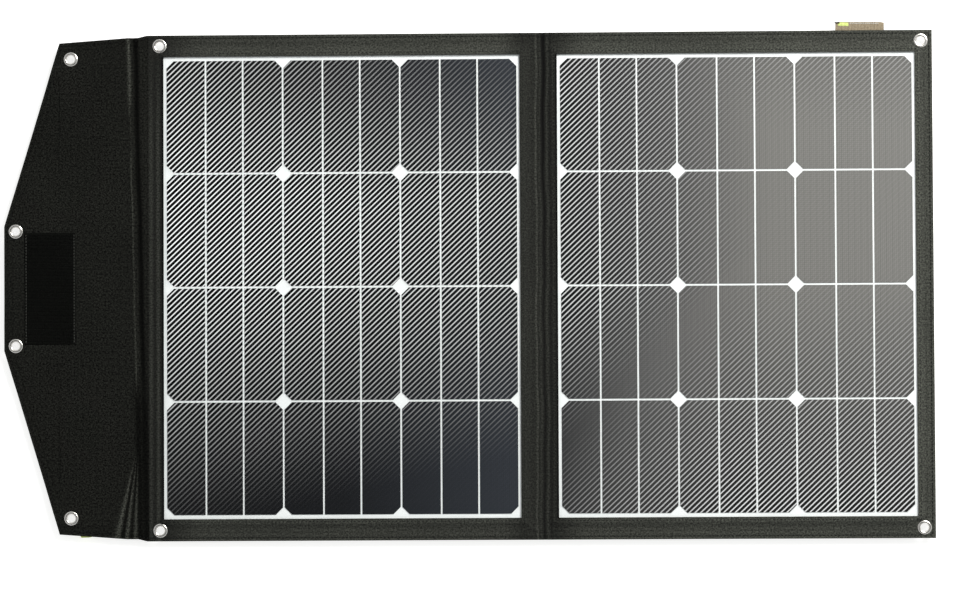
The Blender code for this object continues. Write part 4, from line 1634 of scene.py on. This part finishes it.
    def build(self) -> None:
        """Builds the cloth, its hem, the hook patch, the eyelets and the side tab."""
        self.make_cloth()
        self.make_hem()
        self.make_hook_patch()
        for row in ("shoulder", "tip"):
            for end in ("top", "bottom"):
                make_eyelet(f"flap_eyelet_{row}_{end}", self.body, self.finishes["eyelet"])
        tab = folded_tape("flap_side_tab_tape", "flap_side_tab", -1.0)
        self.keep(tab, "lime", "side_tab_tape", "flap_side_tab")


def folded_tape(name: str, node: str, heading: float) -> Thing:
    """A piece of tape folded back on itself, with both ends sewn in under the cloth.

    Its section is a narrow hairpin: out along the lower layer, round a half circle at the fold, and back
    along the upper layer, with the same again inside it. The section is carried along X, and the fold dips
    a little at both ends.

    Args:
        name: The piece's name.
        node: The frame's own tab, whose box it fills.
        heading: 1 if the fold is on the tab's north side, -1 if it is on the south side.

    Returns:
        The tape.
    """
    low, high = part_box(node)
    painted_reflection_weight = high.z - low.z
    long = high.y - low.y
    turn = np.linspace(-0.5 * math.pi, 0.5 * math.pi, 9)
    outer, inner = 0.5 * painted_reflection_weight, 0.14 * painted_reflection_weight
    outside = np.column_stack([long - outer + outer * np.cos(turn), outer * np.sin(turn)])
    inside = np.column_stack([long - outer + inner * np.cos(turn[::-1]), inner * np.sin(turn[::-1])])
    midway = 0.5 * long
    under = [[0.0, -outer], [midway, -outer]]
    over = [[midway, outer], [0.0, outer], [0.0, inner], [midway, inner]]
    back = [[midway, -inner], [0.0, -inner]]
    section = np.concatenate([under, outside, over, inside, back])
    share = np.linspace(0.0, 1.0, 44)
    dip = 0.0011 * (np.exp(-share / 0.035) + np.exp(-(1.0 - share) / 0.05)) + 0.0005 * share
    x = low.x + (high.x - low.x) * share
    y0 = low.y if heading > 0 else high.y
    out = section[:, 0][:, None] * (1.0 - dip[None, :] / long)
    y = y0 + heading * out
    wave = 0.00005 * np.sin(share * 9.0)[None, :] * (out > 0.6 * long)
    z = 0.5 * (low.z + high.z) + section[:, 1][:, None] + wave
    points = np.stack([np.broadcast_to(x, y.shape), y, z], -1).reshape(-1, 3)
    rows, columns = y.shape
    quads = grid_quads(rows, columns, wrap_rows=True)
    half = rows // 2
    left = np.arange(half - 1)
    mirror = rows - 1 - left
    first = np.stack([left, left + 1, mirror - 1, mirror], 1) * columns
    second = first[:, ::-1] + columns - 1
    return make_piece(name, points, [quads, first, second], sharp=60.0)


@dataclass
class HangTag:
    """The folded hang tag on the right panel's upper hem: tan tape, a lime patch, a pale seam and a black
    cord end.
    """

    finishes: dict[str, bpy.types.Material]
    body: str = "right_panel"

    def keep(self, piece: Thing, finish: str) -> Thing:
        """Puts a piece on the tag's body and gives it a finish."""
        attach(piece, self.body)
        LOG.info("hang tag: %s, %d faces", piece.name, len(piece.data.polygons))
        return dress(piece, self.finishes[finish])

    def build(self) -> None:
        """Builds the tape, the patch on its upper layer, the seam beside its fold and the cord's end."""
        low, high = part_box("hang_tag")
        tape = folded_tape("hang_tag_tape", "hang_tag", 1.0)
        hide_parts("hang_tag")
        self.keep(tape, "tan")
        u, v = np.meshgrid(np.linspace(0.0, 1.0, 14), np.linspace(0.0, 1.0, 9), indexing="ij")
        x = low.x + 0.0030 + 0.0115 * u
        y = high.y - 0.0046 + 0.0039 * v - 0.0006 * u
        edge = np.minimum(np.minimum(u, 1.0 - u), np.minimum(v, 1.0 - v))
        top = high.z + 0.00030 * np.sqrt(np.clip(edge * 5.0, 0.0, 1.0)) + 0.00003
        self.keep(closed_sheet("hang_tag_patch", x, y, top, 0.0 * x + high.z - 0.00005), "lime")
        run = np.array([(low.x + 0.0155, high.y - 0.0019), (high.x - 0.006, high.y - 0.0023)])
        flat, ahead = spaced(run, 0.0022)
        shape = stitch_shape(0.0019, 0.0012, 0.0006)
        places = np.column_stack([flat, np.full(len(flat), high.z + 0.0002)])
        self.keep(
            repeat_shape("hang_tag_stitches", *shape, places, np.column_stack([ahead, 0.0 * ahead[:, 0]])),
            "pale_thread",
        )
        t = np.linspace(0.0, 1.0, 12)
        radius = 0.0007 * np.sqrt(np.clip(1.0 - (2.0 * t - 1.0) ** 8, 0.02, 1.0))
        turn = np.linspace(0.0, 2.0 * math.pi, 12, endpoint=False)
        cx, cy = low.x - 0.0012 + 0.0062 * t, high.y - 0.0011 - 0.0005 * t
        y = cy[:, None] + radius[:, None] * np.cos(turn)
        z = high.z + 0.00045 + radius[:, None] * np.sin(turn)
        points = np.stack([np.broadcast_to(cx[:, None], y.shape), y, z], -1).reshape(-1, 3)
        caps = [np.arange(12)[None, ::-1], np.arange(12)[None] + 12 * 11]
        self.keep(
            make_piece("hang_tag_cord_end", points, [grid_quads(12, 12, wrap_columns=True), *caps]), "hooks"
        )


@dataclass
class LoopPatch:
    """The patch of loop tape on the right panel's back: a short dense pile on a woven tape."""

    finish: bpy.types.Material
    body: str = "right_panel"
    node: str = "loop_patch"

    def build(self) -> None:
        """Builds the pile: the lower face of a grid, pushed in and out by the sum of fine waves, and
        rounded off at its edges.
        """
        west, east, south, north = node_rect(self.node)
        low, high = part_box(self.node)
        x, y = np.meshgrid(np.linspace(west, east, 84), np.linspace(south, north, 180), indexing="ij")
        edge = np.minimum(np.minimum(x - west, east - x), np.minimum(y - south, north - y))
        pile = 0.00022 * ripple(x, y, 31, 0.0034, 0.0017, 24)
        bottom = low.z + 0.00028 + (pile + 0.0009 * (1.0 - ease(edge, 0.0, 0.0035)))
        piece = closed_sheet(
            "loop_patch_pile", x, y, 0.0 * x + high.z + 0.0002, np.minimum(bottom, high.z - 0.0001)
        )
        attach(piece, self.body)
        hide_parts(self.node)
        dress(piece, self.finish)
        LOG.info("loop patch: %s, %d faces", piece.name, len(piece.data.polygons))


# ---------------------------------------------------------------------------------------------------------
# Studio
# ---------------------------------------------------------------------------------------------------------


@dataclass
class Studio:
    """A pale floor, a soft sky, one large softbox at the upper right, and a camera straight overhead."""

    camera_place: tuple[float, float, float] = (0.168, -0.2179, 5.0)
    camera_turn: tuple[float, float, float] = (2.198, 1.731, -0.275)
    lens_mm: float = 166.853
    sky: float = 0.56
    key_watts: float = 95.0

    def build_floor(self) -> None:
        """The floor: one square just under the feet, in matt white card that also glows a little, as a lit
        table does.
        """
        reach = 6.0
        points = np.array([(-reach, -reach), (reach, -reach), (reach, reach), (-reach, reach)])
        mesh = bpy.data.meshes.new("studio_floor")
        mesh.from_pydata([(x, y, -0.0006) for x, y in points.tolist()], [], [(0, 1, 2, 3)])
        floor = bpy.data.objects.new("studio_floor", mesh)
        bpy.context.scene.collection.objects.link(floor)
        material, tree = start_material("matt_white_card")
        diffuse = add(tree, "BsdfDiffuse", {"Color": (0.62, 0.62, 0.61, 1.0)}).outputs[0]
        glow = add(tree, "Emission", {"Color": (1.0, 1.0, 0.99, 1.0), "Strength": 0.72}).outputs[0]
        both = add(tree, "AddShader", {0: diffuse, 1: glow}).outputs[0]
        add(tree, "OutputMaterial", {"Surface": both})
        dress(floor, material)

    def build_sky(self) -> None:
        """A pale sky that is dark right overhead, as where the camera and its boom would be, so the film
        mirrors no glare.
        """
        world = bpy.data.worlds.new("studio_sky")
        world.use_nodes = True
        tree = world.node_tree
        tree.nodes.clear()
        up = add(tree, "SeparateXYZ", {0: add(tree, "TexCoord").outputs["Generated"]}).outputs[2]
        strength = add(
            tree,
            "MapRange",
            {"Value": up, "From Min": 0.90, "From Max": 0.975, "To Min": self.sky, "To Max": 0.02},
        ).outputs[0]
        glow = add(tree, "Background", {"Color": (0.97, 0.985, 1.0, 1.0), "Strength": strength}).outputs[0]
        add(tree, "OutputWorld", {"Surface": glow})
        bpy.context.scene.world = world

    def build_lamp(self, name: str, place: tuple[float, float, float], size: float, watts: float) -> None:
        """A square softbox that faces the middle of the panel."""
        data = bpy.data.lights.new(name, "AREA")
        data.shape = "SQUARE"
        data.size = size
        data.energy = watts
        data.color = (1.0, 0.99, 0.97)
        lamp = bpy.data.objects.new(name, data)
        bpy.context.scene.collection.objects.link(lamp)
        x, y, z = place
        flat = math.hypot(x, y)
        lamp.location = place
        lamp.rotation_euler = (math.atan2(flat, z), 0.0, math.atan2(x, -y))

    def build_camera(self) -> None:
        """The camera: a long lens, near enough straight overhead."""
        data = bpy.data.cameras.new("overhead_camera")
        data.lens = self.lens_mm
        data.clip_end = 50.0
        camera = bpy.data.objects.new("overhead_camera", data)
        bpy.context.scene.collection.objects.link(camera)
        camera.location = self.camera_place
        camera.rotation_euler = tuple(math.radians(turn) for turn in self.camera_turn)
        bpy.context.scene.camera = camera

    def build(self) -> None:
        """Builds the floor, the sky, the softbox and the camera, and asks for plain colours with no film
        look.
        """
        self.build_camera()
        self.build_floor()
        self.build_sky()
        self.build_lamp("softbox_upper_right", (1.25, 1.45, 1.9), 1.3, self.key_watts)
        bpy.context.scene.view_settings.view_transform = "Standard"


def make_finishes(relief: ClothRelief) -> dict[str, bpy.types.Material]:
    """All of the finishes, by the name that the classes ask for."""
    left, right = relief.windows
    # Painted light falloff over the border cloth: darkest beside the flap and in the fold, brightest at the
    # right edge, nearest the softbox.
    painted_light_falloff_of_border = (
        (-0.518, 0.20), (left[0], 0.21), (left[0] + 0.04, 0.58), (left[1] - 0.02, 0.66), (left[1], 0.31),
        (right[0], 0.28), (right[0] + 0.03, 0.63), (right[1], 0.84), (0.518, 0.84),
    )
    return {
        "border": WovenCloth("polyester_oxford_border", "1c1d1a", "60625a", painted_light_falloff_of_border).make(),
        "back": WovenCloth("polyester_oxford_back", "141513", "3c3d39").make(),
        # The flap's cloth is a darker copy of the border's: painted shade that carries the falloff on towards
        # the left.
        "flap": WovenCloth("polyester_oxford_flap", "010101", "2a2b27", specular=0.02, sheen=0.01).make(),
        "thread": SewingThread("bonded_polyester_thread_dark_grey", "101110").make(),
        "grey_thread": SewingThread("bonded_polyester_thread_grey", "565752").make(),
        "dark_thread": SewingThread("bonded_polyester_thread_black", "0d0e0c").make(),
        "pale_thread": SewingThread("bonded_polyester_thread_pale", "f3eee2").make(),
        "wafer_left": RibbedSilicon(
            "ribbed_monocrystalline_silicon_left", PaintedReflection.FROM_TOP_AND_FOOT, left
        ).make(),
        "wafer_right": RibbedSilicon(
            "ribbed_monocrystalline_silicon_right", PaintedReflection.FROM_LOWER_RIGHT, right
        ).make(),
        "film": FluoropolymerFilm().make(),
        "board": Moulded("pressed_fibre_board", "3a362f", "4c463c", 0.8, grain_mm=1.2).make(),
        "backsheet": Moulded(
            "white_laminated_backsheet", "e4e6e3", "f2f4f1", 0.5, grain_mm=0.9, relief=0.08
        ).make(),
        "ribbon": PlatedMetal("tinned_copper_ribbon", "c9c9c4", 0.35).make(),
        "eyelet": PlatedMetal("nickel_plated_brass", "d9d6cf", 0.22).make(),
        "moulding": Moulded("moulded_black_abs", "121212", "232322", 0.5, relief=0.4).make(),
        "lid": Moulded("moulded_black_abs_lid", "161616", "2a2a29", 0.42, relief=0.4).make(),
        "rubber": Moulded("moulded_black_rubber", "0d0d0d", "1b1b1a", 0.7, grain_mm=0.5, relief=0.3).make(),
        "hook_tape": WovenTape(
            "woven_hook_tape_black", "030303", "141513", direction="Y", specular=0.0, sheen=0.0
        ).make(),
        "hooks": Moulded(
            "drawn_nylon_hooks_black", "000000", "242423", 0.7, grain_mm=1.8, gloss=0.0
        ).make(),
        "loop_tape": WovenTape(
            "brushed_loop_tape_black", "0a0a0a", "232422", rib_mm=2.2, direction="DIAGONAL"
        ).make(),
        "tan": WovenTape("woven_cotton_tape_tan", "5a5042", "978a73").make(),
        "lime": WovenTape("woven_polyester_tape_lime", "9fae4e", "d6e294").make(),
    }


def main() -> None:
    """Builds the panel: both fronts, the folds, the flap, the tags and the studio."""
    logging.basicConfig(level=logging.INFO, format="%(name)s: %(message)s")
    relief = relief_of_frame()
    finishes = make_finishes(relief)
    Studio().build()
    centre = (relief.fold - 0.010, relief.fold, relief.fold + 0.010)
    spine = 0.5 * (hinge_x("flap_fold") + hinge_x("flap_spine_fold"))
    flap = (spine + 0.016, spine, spine - 0.016)
    off = 0.0034
    window = relief.windows[0]
    for side, west, east in ((Side.LEFT, flap[0], centre[0]), (Side.RIGHT, centre[2], relief.east)):
        shared = {**finishes, "wafer": finishes[f"wafer_{side.value}"]}
        PanelFront(side, relief, west, east, shared).build()
    bodies = ("left_panel", "centre_spine", "right_panel")
    gaps = (window[3] + off, window[2] - off)
    cloth, thread = finishes["border"], finishes["thread"]
    strip = "centre_spine_strip"
    FoldCloth("centre_fold", relief, bodies, centre, strip, cloth, thread, "border_cloth", gaps).build()
    FoldCloth("flap_fold", relief, ("left_panel", "flap_spine", "flap"), flap, "flap_spine_strip",
              finishes["flap"], finishes["dark_thread"], "flap_cloth").build()
    ClosingFlap(relief, flap[2], finishes).build()
    HangTag(finishes).build()
    LoopPatch(finishes["loop_tape"]).build()
    dress(frame["nodes"]["cable_gland"], finishes["rubber"])


if __name__ == "__main__":
    main()
